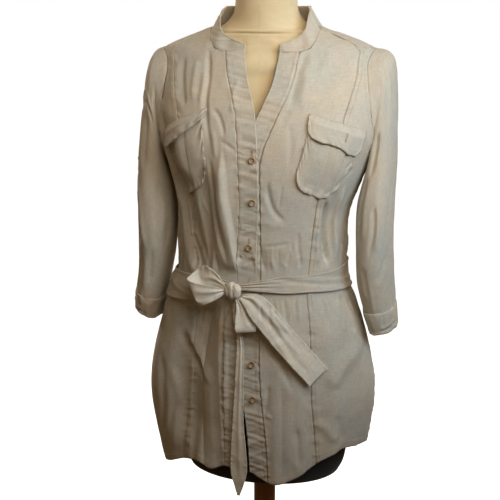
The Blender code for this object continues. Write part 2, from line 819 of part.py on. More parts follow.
def make_belt(finish):
    knot_turn = turn_at(KNOT_ACROSS, KNOT_HEIGHT)
    button_turn = turn_at(*BUTTONS_ON_RIGHT_BAND[-1])

    def place(i, j):
        turn = signed(knot_turn + 360.0 * i / BELT_COLUMNS)
        half = belt_half_width(signed(turn - knot_turn))
        middle = read(BELT_LINE, turn)[0]
        near_button = max(0.0, 1 - abs(signed(turn - button_turn)) / 26.0)
        out = BELT_WALL + BELT_LAY + BELT_OVER_BUTTON * min(1.0, near_button * 1.8)
        return on_jacket(turn, middle + half * (j - 1), out)

    cloth("belt_band", BELT_COLUMNS, 2, place, finish, BELT_WALL, wrap=True)


def ribbon(name, stations, across, finish, columns=2, facing=1):
    """A stretch of belt through a table of stations, each across, height, off and half width."""

    def place(i, j):
        x, height, out, half = stations[j]
        share = (2 * i / columns - 1) * facing
        x += across[0] * half * share
        height += across[1] * half * share
        return on_front(x, height, out)

    cloth(name, columns, len(stations) - 1, place, finish, BELT_WALL)


def make_knot(finish):
    work = bmesh.new()
    bmesh.ops.create_icosphere(work, subdivisions=3, radius=1.0)
    for corner in work.verts:
        corner.co = Vector(
            [math.copysign(abs(c) ** 0.8, c) * size for c, size in zip(corner.co, KNOT_SIZE)]
        )
    mesh = bpy.data.meshes.new("belt_knot")
    work.to_mesh(mesh)
    work.free()
    mesh.shade_smooth()
    knot = add("belt_knot", mesh, finish)
    knot.location = on_front(KNOT_ACROSS, KNOT_HEIGHT, KNOT_SIZE[1] + KNOT_LAY)
    knot.rotation_euler = (0.0, math.radians(18.0), math.radians(-18.0))


# ---------------------------------------------------------------- dress form


def form_point(turn, height):
    """Point of the form's torso, which follows the jacket's shoulders from inside."""
    if height > FORM_SECTIONS[-1][0]:
        slack = SHOULDER_SLACK * math.cos(math.radians(turn)) ** 2
        return on_jacket(turn, height, -(CLOTH + read(SHOULDER_GAP, height)[0] + slack))
    half, front, back, shift, squareness = read(FORM_SECTIONS, height)
    reach = oval(turn, half, front, back, squareness)
    angle = math.radians(turn)
    return Vector((shift + reach * math.sin(angle), -reach * math.cos(angle), height))


FORM_SIDES = 36
SHOULDER_SLACK = 0.006  # the cloth stands off the form at the centre front and back


def torso_point(turn, height):
    """The same with the top cut flat under the neck."""
    point = form_point(turn, height)
    point.z = min(point.z, NECK_SEAM - SEAM)
    return point


def neck_point(turn, height):
    reach = oval(turn, *read(NECK_SECTIONS, height))
    angle = math.radians(turn)
    return Vector((reach * math.sin(angle), -reach * math.cos(angle), height))


def make_form(jersey, black):
    def stack(name, heights, finish, point):
        def place(i, j):
            size = read(JACKET_SECTIONS, heights[j])[:3]
            return point(from_even(360.0 * i / FORM_SIDES, *size), heights[j])

        grid(name, FORM_SIDES, len(heights) - 1, place, finish, wrap=True, capped=True)

    low = [row[0] for row in FORM_SECTIONS if row[0] < FORM_WAIST_JOIN] + [FORM_WAIST_JOIN]
    high = [FORM_WAIST_JOIN + SEAM, 0.835]
    high += [row[0] for row in FORM_SECTIONS if row[0] > 0.85]
    high += ARMHOLE_ROWS[-3:-1] + [height for height in NECK_ROWS[1:] if height < NECK_SEAM]
    high += [NECK_SEAM + 0.004]
    stack("form_lower_end", low, black, form_point)
    stack("form_torso", high, jersey, torso_point)
    stack("form_neck", [row[0] for row in NECK_SECTIONS], jersey, neck_point)


def make_stand(wood):
    pole_bottom = FOOT_HEIGHT + SEAM
    pole_top = FORM_BOTTOM - SEAM
    work = bmesh.new()
    bmesh.ops.create_cone(
        work,
        cap_ends=True,
        segments=32,
        radius1=POLE_RADIUS,
        radius2=POLE_RADIUS,
        depth=pole_top - pole_bottom,
    )
    mesh = bpy.data.meshes.new("pole")
    work.to_mesh(mesh)
    work.free()
    mesh.set_sharp_from_angle(angle=math.radians(40.0))
    add("pole", mesh, wood).location = (0.0, 0.0, (pole_bottom + pole_top) / 2)

    work = bmesh.new()
    bmesh.ops.create_cone(
        work,
        cap_ends=True,
        segments=48,
        radius1=FOOT_RADIUS,
        radius2=FOOT_RADIUS,
        depth=FOOT_HEIGHT,
    )
    rim = [
        edge
        for edge in work.edges
        if all(corner.co.z > 0 for corner in edge.verts) and len(edge.link_faces) == 2
    ]
    bmesh.ops.bevel(
        work, geom=rim, offset=0.008, offset_type="OFFSET", segments=3, profile=0.5, affect="EDGES"
    )
    mesh = bpy.data.meshes.new("foot")
    work.to_mesh(mesh)
    work.free()
    add("foot", mesh, wood).location = (0.0, 0.0, FOOT_HEIGHT / 2)


# ---------------------------------------------------------------- the whole
for old in list(bpy.data.objects):
    bpy.data.objects.remove(old, do_unlink=True)

PIECES = bpy.data.collections.new("safari_jacket_on_dress_form")
bpy.context.scene.collection.children.link(PIECES)

LINEN = material("linen", (0.60, 0.55, 0.46), 0.85)
HORN = material("button_horn", (0.36, 0.25, 0.15), 0.35)
JERSEY = material("form_jersey", (0.68, 0.55, 0.38), 0.80)
BLACK = material("form_black_jersey", (0.012, 0.011, 0.010), 0.80)
WOOD = material("dark_wood", (0.075, 0.026, 0.012), 0.40)

make_fronts(LINEN)
make_back(LINEN)
make_collar(LINEN)
make_sleeve("left", 1, SLEEVE_LEFT, LINEN)
make_sleeve("right", -1, SLEEVE_RIGHT, LINEN)
make_pocket("left", 1, POCKET_TILT_LEFT, LINEN)
make_pocket("right", -1, POCKET_TILT_RIGHT, LINEN)
make_buttons(HORN)
make_belt(LINEN)
make_knot(LINEN)
ribbon("bow_loop", BOW_LOOP, UPRIGHT_ACROSS, LINEN)
ribbon("hanging_loop", HANGING_LOOP, LEVEL_ACROSS, LINEN)
ribbon("slanting_end", SLANTING_END, SLANT_ACROSS, LINEN)
ribbon("hanging_end", HANGING_END, LEVEL_ACROSS, LINEN)
make_form(JERSEY, BLACK)
make_stand(WOOD)
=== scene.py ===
# %% [markdown]
# # A linen safari jacket on a dress form
#
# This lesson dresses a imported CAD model. The CAD holds the jacket as plain shells of the right size,
# one for each cut piece. Here each shell is sewn again as fine cloth with folds, seams and stitches,
# and the dress form, its pole and its foot get their finishes. Units are metres, +Z is up, the
# jacket's front faces -Y, and +X is the wearer's left.

# %% Frame
import math
from functools import partial

import bmesh
import bpy
import numpy as np
from mathutils import Matrix, Vector, noise


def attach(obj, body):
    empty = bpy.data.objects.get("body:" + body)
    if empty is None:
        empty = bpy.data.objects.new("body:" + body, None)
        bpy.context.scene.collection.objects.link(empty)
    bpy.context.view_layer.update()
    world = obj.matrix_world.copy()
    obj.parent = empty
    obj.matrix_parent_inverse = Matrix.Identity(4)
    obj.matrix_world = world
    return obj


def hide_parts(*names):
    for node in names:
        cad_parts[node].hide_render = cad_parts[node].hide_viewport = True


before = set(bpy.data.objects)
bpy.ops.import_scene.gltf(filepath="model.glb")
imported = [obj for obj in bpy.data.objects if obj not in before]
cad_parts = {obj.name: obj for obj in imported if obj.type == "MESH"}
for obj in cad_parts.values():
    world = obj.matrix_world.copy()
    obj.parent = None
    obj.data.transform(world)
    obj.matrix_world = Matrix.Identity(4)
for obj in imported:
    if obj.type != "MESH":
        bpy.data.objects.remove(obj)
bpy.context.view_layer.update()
print("frame:", len(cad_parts), "CAD nodes")

# %% [markdown]
# ## Camera
#
# A dress form is best seen from a little above chest height. A camera can be aimed by a constraint
# or by plain angles. Plain angles are used, because a portrait like this needs only a tilt down and
# a small turn.

# %% Camera
CAMERA_DISTANCE = 1.8
CAMERA_HEIGHT = 1.41
CAMERA_TURN = math.radians(12.0)
CAMERA_TILT = math.radians(13.6)
CAMERA_PAN = math.radians(0.924)
LENS_MM = 71.4
SENSOR_MM = 36.0

camera_data = bpy.data.cameras.new("camera")
camera_data.lens = LENS_MM
camera_data.sensor_width = SENSOR_MM
camera = bpy.data.objects.new("camera", camera_data)
camera.location = (
    CAMERA_DISTANCE * math.sin(CAMERA_TURN),
    -CAMERA_DISTANCE * math.cos(CAMERA_TURN),
    CAMERA_HEIGHT,
)
camera.rotation_euler = (math.pi / 2 - CAMERA_TILT, 0.0, CAMERA_TURN + CAMERA_PAN)
bpy.context.scene.collection.objects.link(camera)
bpy.context.scene.camera = camera
print("camera: lens", camera_data.lens, "mm")

# %% [markdown]
# ## Sizes
#
# These are the sizes that the CAD pieces were cut to. A "turn" is an angle in degrees round the
# jacket from its centre front, positive towards the wearer's left: 90 is the left side, 180 the
# centre back and -90 the right side. Each row of a section table is one level of the body.

# %% Sizes of cloth, seams and the body
CLOTH = 0.0012  # one layer of linen
SEAM = 0.0003  # gap between two pieces at a seam
LAY = 0.00098  # gap under a piece that lies on a panel
UNDERLAP = CLOTH + 0.0006  # how far the left button band sits under the right one

HEM_BLEND_TOP = 0.78
HEM_LEVEL = 0.555
UNDERARM = 1.1425
SHOULDER_END = 1.346
NECKLINE_FRONT = 1.341
NECKLINE_SIDE = 1.383
SHOULDER_SEAM_TURN = 80.0
SIDE_TURN = 90.0
ARMHOLE_FRONT = 18.0
ARMHOLE_BACK = 20.0
BAND_WIDTH = 0.035

# Height, half width, depth in front, depth behind, sideways shift and squareness.
JACKET_SECTIONS = (
    (0.54, 0.184, 0.118, 0.118, -0.006, 2.3), (0.6, 0.199, 0.126, 0.126, -0.006, 2.3),
    (0.66, 0.21, 0.131, 0.131, -0.006, 2.3), (0.72, 0.215, 0.134, 0.134, -0.006, 2.3),
    (0.78, 0.208, 0.134, 0.132, -0.006, 2.3), (0.84, 0.193, 0.131, 0.124, -0.006, 2.3),
    (0.89, 0.177, 0.126, 0.112, -0.008, 2.3), (0.92, 0.166, 0.122, 0.104, -0.009, 2.3),
    (0.95, 0.157, 0.119, 0.101, -0.006, 2.3), (1.0, 0.158, 0.122, 0.104, -0.006, 2.3),
    (1.06, 0.159, 0.126, 0.108, -0.003, 2.35), (1.1, 0.169, 0.129, 0.112, 0.002, 2.4),
    (1.145, 0.184, 0.131, 0.115, 0.006, 2.5), (1.2, 0.203, 0.128, 0.116, 0.008, 2.5),
    (1.25, 0.206, 0.115, 0.113, 0.008, 2.45), (1.29, 0.203, 0.099, 0.106, 0.008, 2.3),
    (1.32, 0.199, 0.086, 0.097, 0.007, 2.0), (1.346, 0.192, 0.074, 0.085, 0.005, 1.75),
    (1.356, 0.171, 0.07, 0.08, 0.004, 1.68), (1.368, 0.141, 0.065, 0.074, 0.003, 1.65),
    (1.383, 0.0965, 0.06, 0.068, 0.003, 1.8),
)

# Heights at which the large folds of the bodice and of the skirt end.
BODICE_FOLDS_END = 0.965
SKIRT_FOLDS_END = 0.540
# Upper turn and height, lower turn, half width in degrees and rise of each large fold.
BODICE_FOLDS = (
    (61, 1.11, 61, 9, -0.009), (-21, 1.22, -20, 8, 0.004), (-38, 1.16, -31, 9, -0.007),
    (-55, 1.08, -47, 8, 0.005), (-70, 1.08, -62, 8, -0.006), (120, 1.12, 124, 11, -0.005),
    (150, 1.15, 147, 12, 0.005), (-150, 1.15, -146, 12, 0.005), (-122, 1.1, -124, 11, -0.005),
)
SKIRT_FOLDS = (
    (-34, 0.9, -36, 10, 0.008), (-50, 0.9, -56, 9, -0.007), (-22, 0.86, -21, 7, -0.004),
    (-68, 0.9, -74, 10, 0.005), (25, 0.82, 27, 10, 0.004), (45, 0.9, 50, 12, -0.005),
    (64, 0.9, 68, 9, -0.006), (84, 0.9, 86, 11, 0.004), (108, 0.9, 112, 12, -0.007),
    (135, 0.9, 138, 13, 0.007), (160, 0.9, 162, 12, -0.006), (-170, 0.9, -172, 13, 0.006),
    (-145, 0.9, -148, 12, -0.007), (-120, 0.9, -122, 13, 0.007), (-98, 0.9, -100, 10, -0.005),
)
# Turn and height of the hem.
HEM = (
    (-180.0, 0.552), (-135.0, 0.556), (-100.0, 0.568), (-72.0, 0.56),
    (-55.0, 0.582), (-40.0, 0.59), (-31.0, 0.58), (-20.0, 0.59),
    (0.0, 0.582), (22.0, 0.56), (38.0, 0.574), (60.0, 0.619),
    (80.0, 0.622), (105.0, 0.588), (140.0, 0.562), (180.0, 0.552),
)
# Height and turn of the seam between the centre front and the side front.
PRINCESS = (
    (0.54, 51.0), (0.62, 48.3), (0.75, 44.7), (0.85, 45.0),
    (0.94, 46.5), (1.0, 47.8), (1.06, 48.0), (1.1, 46.8),
    (1.17, 49.3), (1.235, 57.0), (1.27, 63.0), (1.3, 69.0),
    (1.32, 73.0), (1.346, 78.5),
)
# Height and place across of each front's edge.
RIGHT_EDGE = (
    (0.54, -0.013), (0.8, -0.014), (0.87, -0.0115), (0.905, 0.0),
    (0.94, 0.008), (1.0, 0.01), (1.09, 0.0146), (1.16, 0.013),
    (1.23, 0.0075), (1.26, 0.0), (1.3, -0.013), (1.341, -0.0215),
)
LEFT_EDGE = (
    (0.54, -0.003), (0.62, -0.005), (0.76, -0.016), (0.9, -0.018),
    (1.15, -0.018), (1.18, -0.012), (1.23, 0.0075), (1.287, 0.03),
    (1.341, 0.038),
)
LEFT_BAND_UNDER = ((0.540, UNDERLAP), (1.225, UNDERLAP), (1.270, 0.0), (1.341, 0.0))
# Height and turn of the neckline between the bands and the shoulder seam.
NECKLINE = ((SHOULDER_END, 53.0), (1.356, 59.0), (1.365, 64.5), (1.373, 70.0), (1.380, 77.5))

# Turn and height of the belt's middle.
BELT_LINE = (
    (-180.0, 0.926), (-90.0, 0.914), (-50.0, 0.922), (-17.0, 0.933),
    (15.0, 0.94), (50.0, 0.942), (90.0, 0.94), (180.0, 0.926),
)
BELT_HALF_WIDTH = 0.025
BELT_WALL = 0.0014
BELT_LAY = 0.0022
BELT_OVER_BUTTON = 0.0042
KNOT_ACROSS = -0.028
KNOT_HEIGHT = 0.930
KNOT_LAY = 0.0087
KNOT_SIZE = (0.0150, 0.0095, 0.0145)
print("sizes:", len(JACKET_SECTIONS), "levels of the jacket")

# %% [markdown]
# ## Reading the tables
#
# A body drawn by straight lines between its levels would show a kink at each one. A smooth curve
# through the rows could overshoot and bulge, so the curve here is flat wherever the rows turn back.
# The functions take whole arrays of places at once, because the cloth has many thousand corners.


# %% Smooth curves and ovals
def read(table, key):
    """The columns of a table at these keys, without the key, on smooth curves through its rows."""
    rows = np.array(table)
    keys = rows[:, 0]
    values = rows[:, 1:]
    key = np.clip(np.asarray(key, float), keys[0], keys[-1])
    low = np.clip(np.searchsorted(keys, key, side="right") - 1, 0, len(keys) - 2)
    steps = np.diff(keys)
    slopes = np.diff(values, axis=0) / steps[:, None]
    before = slopes[np.maximum(low - 1, 0)]
    here = slopes[low]
    after = slopes[np.minimum(low + 1, len(slopes) - 1)]
    step = steps[low][..., None]
    t = (key - keys[low])[..., None] / step
    start = np.where(before * here > 0, (before + here) / 2 * step, 0.0)
    end = np.where(here * after > 0, (here + after) / 2 * step, 0.0)
    curve = (
        values[low] * (1 + 2 * t) * (1 - t) ** 2
        + values[low + 1] * t * t * (3 - 2 * t)
        + start * t * (1 - t) ** 2
        - end * t * t * (1 - t)
    )
    return np.moveaxis(curve, -1, 0)


def read_one(table, key):
    """The first column of a table at these keys."""
    return read(table, key)[0]


def signed(turn):
    return (turn + 180.0) % 360.0 - 180.0


def smooth_step(x):
    x = np.clip(x, 0.0, 1.0)
    return x * x * (3 - 2 * x)


def bell(x):
    """1 at zero, dying out a little past 1 on either side."""
    return np.exp(-(x**2))


def oval(turn, half, front, back, squareness):
    """Distance from the middle to an oval of unequal depths, in the direction of a turn."""
    across = np.abs(np.sin(np.radians(turn))) / half
    along = np.cos(np.radians(turn))
    along = np.abs(along) / np.where(along > 0, front, back)
    return (across**squareness + along**squareness) ** (-1 / squareness)


def even(turn, half, front, back):
    """The turn's place in even steps round an oval."""
    depth = np.where(np.cos(np.radians(turn)) > 0, front, back)
    angle = np.radians(turn)
    step = np.degrees(np.arctan2(np.sin(angle) / half, np.cos(angle) / depth))
    return turn + signed(step - turn)


def from_even(step, half, front, back):
    """The turn at a place in even steps round the same oval."""
    depth = np.where(np.cos(np.radians(step)) > 0, front, back)
    angle = np.radians(step)
    turn = np.degrees(np.arctan2(half * np.sin(angle), depth * np.cos(angle)))
    return step + signed(turn - step)


def unit(vectors):
    return vectors / np.linalg.norm(vectors, axis=-1, keepdims=True)


# %% The jacket's skin
SIDE_STEP = 1.5  # degrees
UP_STEP = 0.004
WIDEST_SINE = 0.98  # places across never pass this share of the half width
TURN_ROUNDS = 20


def fold_rise(turn, height):
    """How far the large folds lift the cloth here."""
    rise = np.zeros(np.broadcast(turn, height).shape)
    for bodice, bottom, folds in (
        (True, BODICE_FOLDS_END, BODICE_FOLDS),
        (False, SKIRT_FOLDS_END, SKIRT_FOLDS),
    ):
        for top_turn, top, bottom_turn, half_width, most in folds:
            down = (top - height) / (top - bottom)
            off = signed(turn - top_turn - (bottom_turn - top_turn) * down) / half_width
            inside = (down > 0) & (np.abs(off) < 1) & ((down < 1) | (not bodice))
            fade = np.sin(np.pi * down) if bodice else np.minimum(1.0, down * 2.5)
            rise += np.where(inside, most * fade * np.cos(np.pi * off / 2) ** 2, 0.0)
    return rise


def skin(turn, height):
    """Points of the jacket's outer face, before its small creases."""
    turn, height = np.broadcast_arrays(turn, height)
    half, front, back, shift, squareness = read(JACKET_SECTIONS, height)
    reach = oval(turn, half, front, back, squareness) + fold_rise(turn, height)
    angle = np.radians(turn)
    return np.stack([shift + reach * np.sin(angle), -reach * np.cos(angle), height], axis=-1)


def skin_out(turn, height):
    """The direction out of the jacket's face."""
    across = skin(turn + SIDE_STEP, height) - skin(turn - SIDE_STEP, height)
    up = skin(turn, height + UP_STEP) - skin(turn, height - UP_STEP)
    return unit(np.cross(across, up))


def turn_at(across, height):
    """The turn at which the front lies this far across."""
    half, front, back, shift, squareness = read(JACKET_SECTIONS, height)
    turn = np.zeros(np.broadcast(across, height).shape)
    for _ in range(TURN_ROUNDS):
        reach = oval(turn, half, front, back, squareness)
        sine = np.clip((across - shift) / reach, -WIDEST_SINE, WIDEST_SINE)
        turn = np.degrees(np.arcsin(sine))
    return turn


print("skin: waist is", round(float(np.ptp(skin(np.arange(360.0), 0.95)[:, 0])), 3), "m across")

# %% [markdown]
# ## Creases
#
# Linen hardly stretches, so it bends into narrow troughs and sharp ridges wherever the body pulls at
# it. A simulation gives folds of its own choosing. Here the main creases are laid one by one, as a
# dresser would pinch them. Each one is a line down the cloth, how far it sinks or stands in
# millimetres, and how wide it is on the side towards the wearer's right and on the other side: the
# narrow side is the crisp one. The cloth is lifted by how near each of its corners lies to the line.

# %% Creases of the body
# Rise, width right, width left, and the turns and heights that it runs through, in pairs.
FRONT_CREASES = (
    # chest on the wearer's right
    (-4.2, 10, 8, (-57, 1.348, -51, 1.322, -45, 1.293, -41, 1.255, -37, 1.226, -32, 1.18)),
    (2, 9, 9, (-50, 1.31, -46, 1.28, -44, 1.25)),
    (-3.2, 15, 10, (-70, 1.335, -66, 1.312, -61, 1.288, -56, 1.262, -53, 1.248)),
    (2, 9, 12, (-61, 1.33, -55, 1.295, -49, 1.255)),
    (-2, 8, 8, (-80, 1.325, -75, 1.29, -70, 1.25)),
    (-2.6, 8, 6, (-36, 1.247, -30, 1.238, -25, 1.216, -23, 1.198)),
    (-1.6, 5, 5, (-26, 1.195, -21, 1.186, -16, 1.178)),
    (-1.5, 5, 4, (-22, 1.192, -17, 1.182, -13, 1.174)),
    (2.2, 8, 9, (-32, 1.212, -30, 1.19, -28, 1.16)),
    (1.5, 6, 10, (-21, 1.3, -22, 1.265, -20, 1.235)),
    # bodice on the wearer's right
    (10, 44, 10, (-25, 1.19, -23, 1.14, -21.5, 1.1, -17.5, 1.06, -14, 1.02, -10, 0.975, -8, 0.935)),
    (-15, 34, 44, (-60, 1.165, -57, 1.11, -54, 1.07, -49, 1.03, -45, 0.99, -40, 0.935)),
    (-7, 16, 56, (-70, 1.24, -68, 1.2, -66, 1.15, -64, 1.1, -60, 1.06)),
    (-5, 9, 12, (-33, 1.17, -30, 1.125, -28, 1.09, -24, 1.05, -20, 1.01, -16, 0.97)),
    (1.6, 8, 6, (-43, 1.1, -40, 1.057, -36, 1.01, -33, 0.965)),
    (1.9, 4, 4, (-40, 1.088, -37, 1.072, -34, 1.058)),
    (2.2, 12, 9, (-50, 1.048, -46, 1.02, -41, 0.99, -37, 0.96)),
    (-3.4, 14, 10, (-62, 1.088, -56, 1.04, -50, 0.992, -46, 0.955)),
    (3.2, 9, 9, (-74, 1.06, -67, 1.02, -59, 0.975)),
    (-3.4, 8, 8, (-80, 1.075, -74, 1.03, -69, 0.98, -67, 0.95)),
    (-1.8, 6, 5, (-58, 1.14, -50, 1.12, -44, 1.098)),
    # chest on the wearer's left
    (-4, 10, 13, (52, 1.346, 44, 1.328, 37, 1.308, 32, 1.288, 29, 1.268, 27, 1.244)),
    (2.2, 10, 20, (44, 1.308, 39, 1.285, 34, 1.25)),
    (-1.8, 8, 8, (27, 1.246, 23, 1.236, 19, 1.226)),
    (-1.6, 18, 20, (74, 1.346, 63, 1.32, 52, 1.288, 45, 1.26)),
    (1.4, 12, 16, (66, 1.35, 58, 1.325, 50, 1.3)),
    (-1.5, 8, 10, (25, 1.225, 26, 1.19, 25, 1.15)),
    # between the placket and the left pocket
    (-3, 9, 8, (11, 1.13, 13, 1.1, 18, 1.076, 23, 1.063, 28, 1.057)),
    (1, 9, 10, (9, 1.062, 15, 1.052, 23, 1.046, 29, 1.05)),
    (-1.3, 4, 3, (22, 1.124, 22, 1.1, 22, 1.078)),
    (-1.6, 3, 6, (13, 1.009, 22, 1.012, 33, 1.017)),
    (1.2, 4, 3, (13, 1.014, 22, 1.017, 34, 1.022)),
    (-1.3, 4, 3, (34, 1.018, 35, 0.996)),
    (-2.8, 6, 6, (10, 1.014, 12, 0.98, 16, 0.952)),
    (2.2, 6, 6, (5, 1, 7, 0.978, 10, 0.956)),
    (1.8, 5, 5, (27, 0.982, 31, 0.972, 35, 0.961)),
    (-2.2, 7, 7, (38, 1.04, 39, 1.005, 42, 0.966)),
    (1.8, 6, 6, (19, 0.99, 21, 0.972, 25, 0.955)),
    # waist on the wearer's left
    (-14, 8, 10, (53, 1.095, 56, 1.065, 59, 1.03, 61, 0.995, 63, 0.962)),
    (7, 8, 10, (63, 1.12, 65, 1.08, 67, 1.03, 69, 0.965)),
    (-5, 8, 9, (86, 1.095, 84, 1.05, 83, 1.005, 84, 0.965)),
    (2.6, 8, 6, (49, 1.08, 51, 1.04, 53, 1, 54, 0.968)),
    (-1.8, 7, 7, (66, 1.15, 60, 1.13, 54, 1.112)),
    # skirt on the wearer's right
    (-4.4, 7, 8, (-58, 0.912, -68, 0.903, -80, 0.882, -88, 0.868)),
    (4.6, 6, 26, (-53, 0.852, -47, 0.822, -40, 0.795, -33, 0.771, -27, 0.742)),
    (-3.4, 14, 6, (-56, 0.846, -50, 0.814, -43, 0.787, -36, 0.762, -30, 0.735)),
    (-21, 92, 70, (-37, 0.965, -37, 0.905, -38, 0.86,
        -39, 0.82, -41, 0.775, -42, 0.715, -43, 0.65, -45, 0.56)),
    (4.5, 18, 14, (-22, 0.93, -22, 0.86, -22, 0.78, -21, 0.7, -21, 0.62, -21, 0.52)),
    (-8, 26, 26, (-31, 0.94, -32, 0.86, -33, 0.78, -34, 0.7, -34, 0.62, -34, 0.52)),
    (3, 6, 9, (-17, 0.915, -17, 0.85, -17, 0.76, -17, 0.64)),
    (3, 16, 12, (-58, 0.775, -56, 0.74, -54, 0.71, -55, 0.64, -57, 0.58)),
    (-3, 12, 14, (-66, 0.8, -62, 0.74, -64, 0.67, -70, 0.6)),
    (2.6, 12, 12, (-56, 0.69, -58, 0.64, -60, 0.59)),
    (2.2, 8, 8, (-46, 0.9, -50, 0.87, -56, 0.845)),
    (-2.4, 7, 8, (-40, 0.905, -40, 0.88, -42, 0.85)),
    # skirt on the wearer's left
    (-9, 5, 9, (72, 0.924, 72, 0.895, 73, 0.865, 75, 0.835)),
    (3.6, 9, 5, (68, 0.915, 67, 0.88, 68, 0.84)),
    (-2.8, 10, 12, (13, 0.85, 20, 0.816, 27, 0.795, 32, 0.75)),
    (2.4, 10, 10, (22, 0.85, 28, 0.825, 34, 0.79)),
    (-2.2, 8, 8, (17, 0.76, 16, 0.73, 14, 0.7)),
    (2.4, 4, 4, (15, 0.701, 17, 0.698, 20, 0.696)),
    (4, 22, 30, (54, 0.748, 60, 0.772, 69, 0.8, 82, 0.828)),
    (2.6, 14, 14, (48, 0.694, 54, 0.672, 60, 0.64)),
    (-2.4, 12, 12, (58, 0.7, 62, 0.67, 66, 0.635)),
    (-2.2, 10, 10, (36, 0.68, 38, 0.64, 40, 0.59)),
    (-3.5, 18, 18, (26, 0.77, 26, 0.7, 27, 0.64, 27, 0.54)),
    (-1.8, 7, 7, (56, 0.912, 57, 0.885, 58, 0.85)),
    (-1.6, 6, 6, (20, 0.91, 19, 0.885, 20, 0.865)),
    (-2.6, 9, 9, (84, 0.905, 87, 0.87, 90, 0.82)),
)
BACK_CREASES = (
    (-3, 12, 10, (118, 1.3, 128, 1.27, 136, 1.235, 141, 1.2)),
    (2.4, 12, 10, (128, 1.315, 138, 1.28, 146, 1.24)),
    (-3, 10, 13, (-120, 1.296, -131, 1.262, -137, 1.226, -143, 1.185)),
    (2, 10, 12, (-112, 1.255, -122, 1.23, -130, 1.2)),
    (-2.2, 16, 16, (165, 1.335, 171, 1.3, 174, 1.255)),
    (-2, 16, 14, (-164, 1.33, -168, 1.29, -166, 1.25)),
    (-3.6, 9, 11, (112, 1.15, 120, 1.12, 131, 1.08, 137, 1.03)),
    (3, 9, 9, (108, 1.11, 115, 1.07, 121, 1.02, 124, 0.965)),
    (-4.6, 9, 9, (101, 1.08, 106, 1.04, 112, 0.995, 114, 0.95)),
    (-4.8, 9, 10, (140, 1.12, 138, 1.06, 137, 1.01, 138, 0.955)),
    (3.2, 9, 9, (147, 1.08, 147, 1.03, 147, 0.96)),
    (-4.2, 9, 9, (160, 1.15, 157, 1.08, 156, 1.01, 156, 0.955)),
    (2.8, 10, 9, (170, 1.06, 168, 1.01, 167, 0.955)),
    (-3.8, 9, 9, (179, 1.11, 180, 1.04, 178, 0.955)),
    (3, 9, 9, (-171, 1.08, -170, 1.02, -169, 0.955)),
    (-4.6, 10, 9, (-160, 1.14, -158, 1.07, -157, 1, -158, 0.95)),
    (-4.4, 9, 10, (-140, 1.1, -138, 1.05, -137, 1, -137, 0.95)),
    (3.2, 10, 9, (-148, 1.07, -147, 1.01, -147, 0.95)),
    (-3.6, 10, 9, (-110, 1.15, -119, 1.115, -128, 1.075, -132, 1.03)),
    (-4.4, 9, 9, (-98, 1.08, -104, 1.035, -110, 0.99, -112, 0.945)),
    (2.8, 9, 9, (-104, 1.11, -112, 1.06, -118, 1.01, -121, 0.955)),
    (-4.6, 8, 10, (103, 0.9, 105, 0.85, 109, 0.78, 112, 0.69)),
    (3.4, 12, 10, (114, 0.89, 118, 0.83, 121, 0.75)),
    (-4.4, 10, 10, (127, 0.9, 129, 0.84, 130, 0.76, 129, 0.66)),
    (-3.8, 12, 12, (150, 0.9, 152, 0.85, 156, 0.78, 157, 0.7)),
    (3, 12, 12, (141, 0.88, 143, 0.8, 145, 0.72)),
    (-4.2, 10, 10, (171, 0.9, 173, 0.84, 172, 0.77)),
    (3, 16, 16, (180, 0.86, 179, 0.76, 177, 0.66)),
    (-4.6, 10, 11, (-166, 0.9, -164, 0.83, -165, 0.74, -168, 0.64)),
    (-4, 12, 10, (-146, 0.9, -148, 0.84, -150, 0.76, -151, 0.68)),
    (3.2, 12, 12, (-137, 0.88, -138, 0.8, -140, 0.71)),
    (-4.6, 10, 10, (-127, 0.895, -125, 0.83, -124, 0.75, -124, 0.65)),
    (-4.2, 9, 9, (-105, 0.89, -104, 0.84, -107, 0.77)),
    (2.8, 12, 12, (-113, 0.8, -111, 0.73, -110, 0.65)),
    (-2.6, 12, 14, (160, 0.7, 150, 0.68, 141, 0.65)),
    (-2.4, 14, 12, (-150, 0.64, -142, 0.66, -133, 0.69)),
)


GATHER_STEP = 5.5  # degrees from one gather to the next
GATHER_FROM_MIDDLE = 0.020  # how far from the belt's middle each begins
BOW_TURNS = (-24, 14)  # none here, where the bow lies on the cloth


def gathers():
    """Short creases that the belt draws up over and under itself, all round."""
    dice = np.random.RandomState(11)
    made = []
    for turn in np.arange(-178.0, 180.0, GATHER_STEP):
        if BOW_TURNS[0] < turn < BOW_TURNS[1]:
            continue
        for way in (1, -1):
            at = turn + dice.uniform(-2.0, 2.0)
            middle = float(read_one(BELT_LINE, at))
            near = middle + way * GATHER_FROM_MIDDLE
            far = near + way * dice.uniform(0.030, 0.062)
            rise = dice.choice([-1, 1]) * dice.uniform(0.8, 2.0)
            width = dice.uniform(3.5, 6.5)
            lean = dice.uniform(-2.5, 2.5)
            ends = (at, near, at + lean / 2, (near + far) / 2, at + lean, far)
            made.append((rise, width, width * 1.2, ends))
    return tuple(made)


BODY_CREASES = FRONT_CREASES + BACK_CREASES + gathers()
print("creases:", len(BODY_CREASES), "on the body")


# %% Lifting the cloth by its creases
CREASE_STEPS = 6  # points between two rows of a crease's line
CREASE_FADE = 0.22  # share of its length over which a crease starts and ends
CREASE_POINT = 0.55  # its width at its ends, as a share of its whole width
BELT_GRIP = 0.12  # share of a crease's height that is left under the belt
BELT_EASE = 0.022  # how far from the belt the cloth is free again


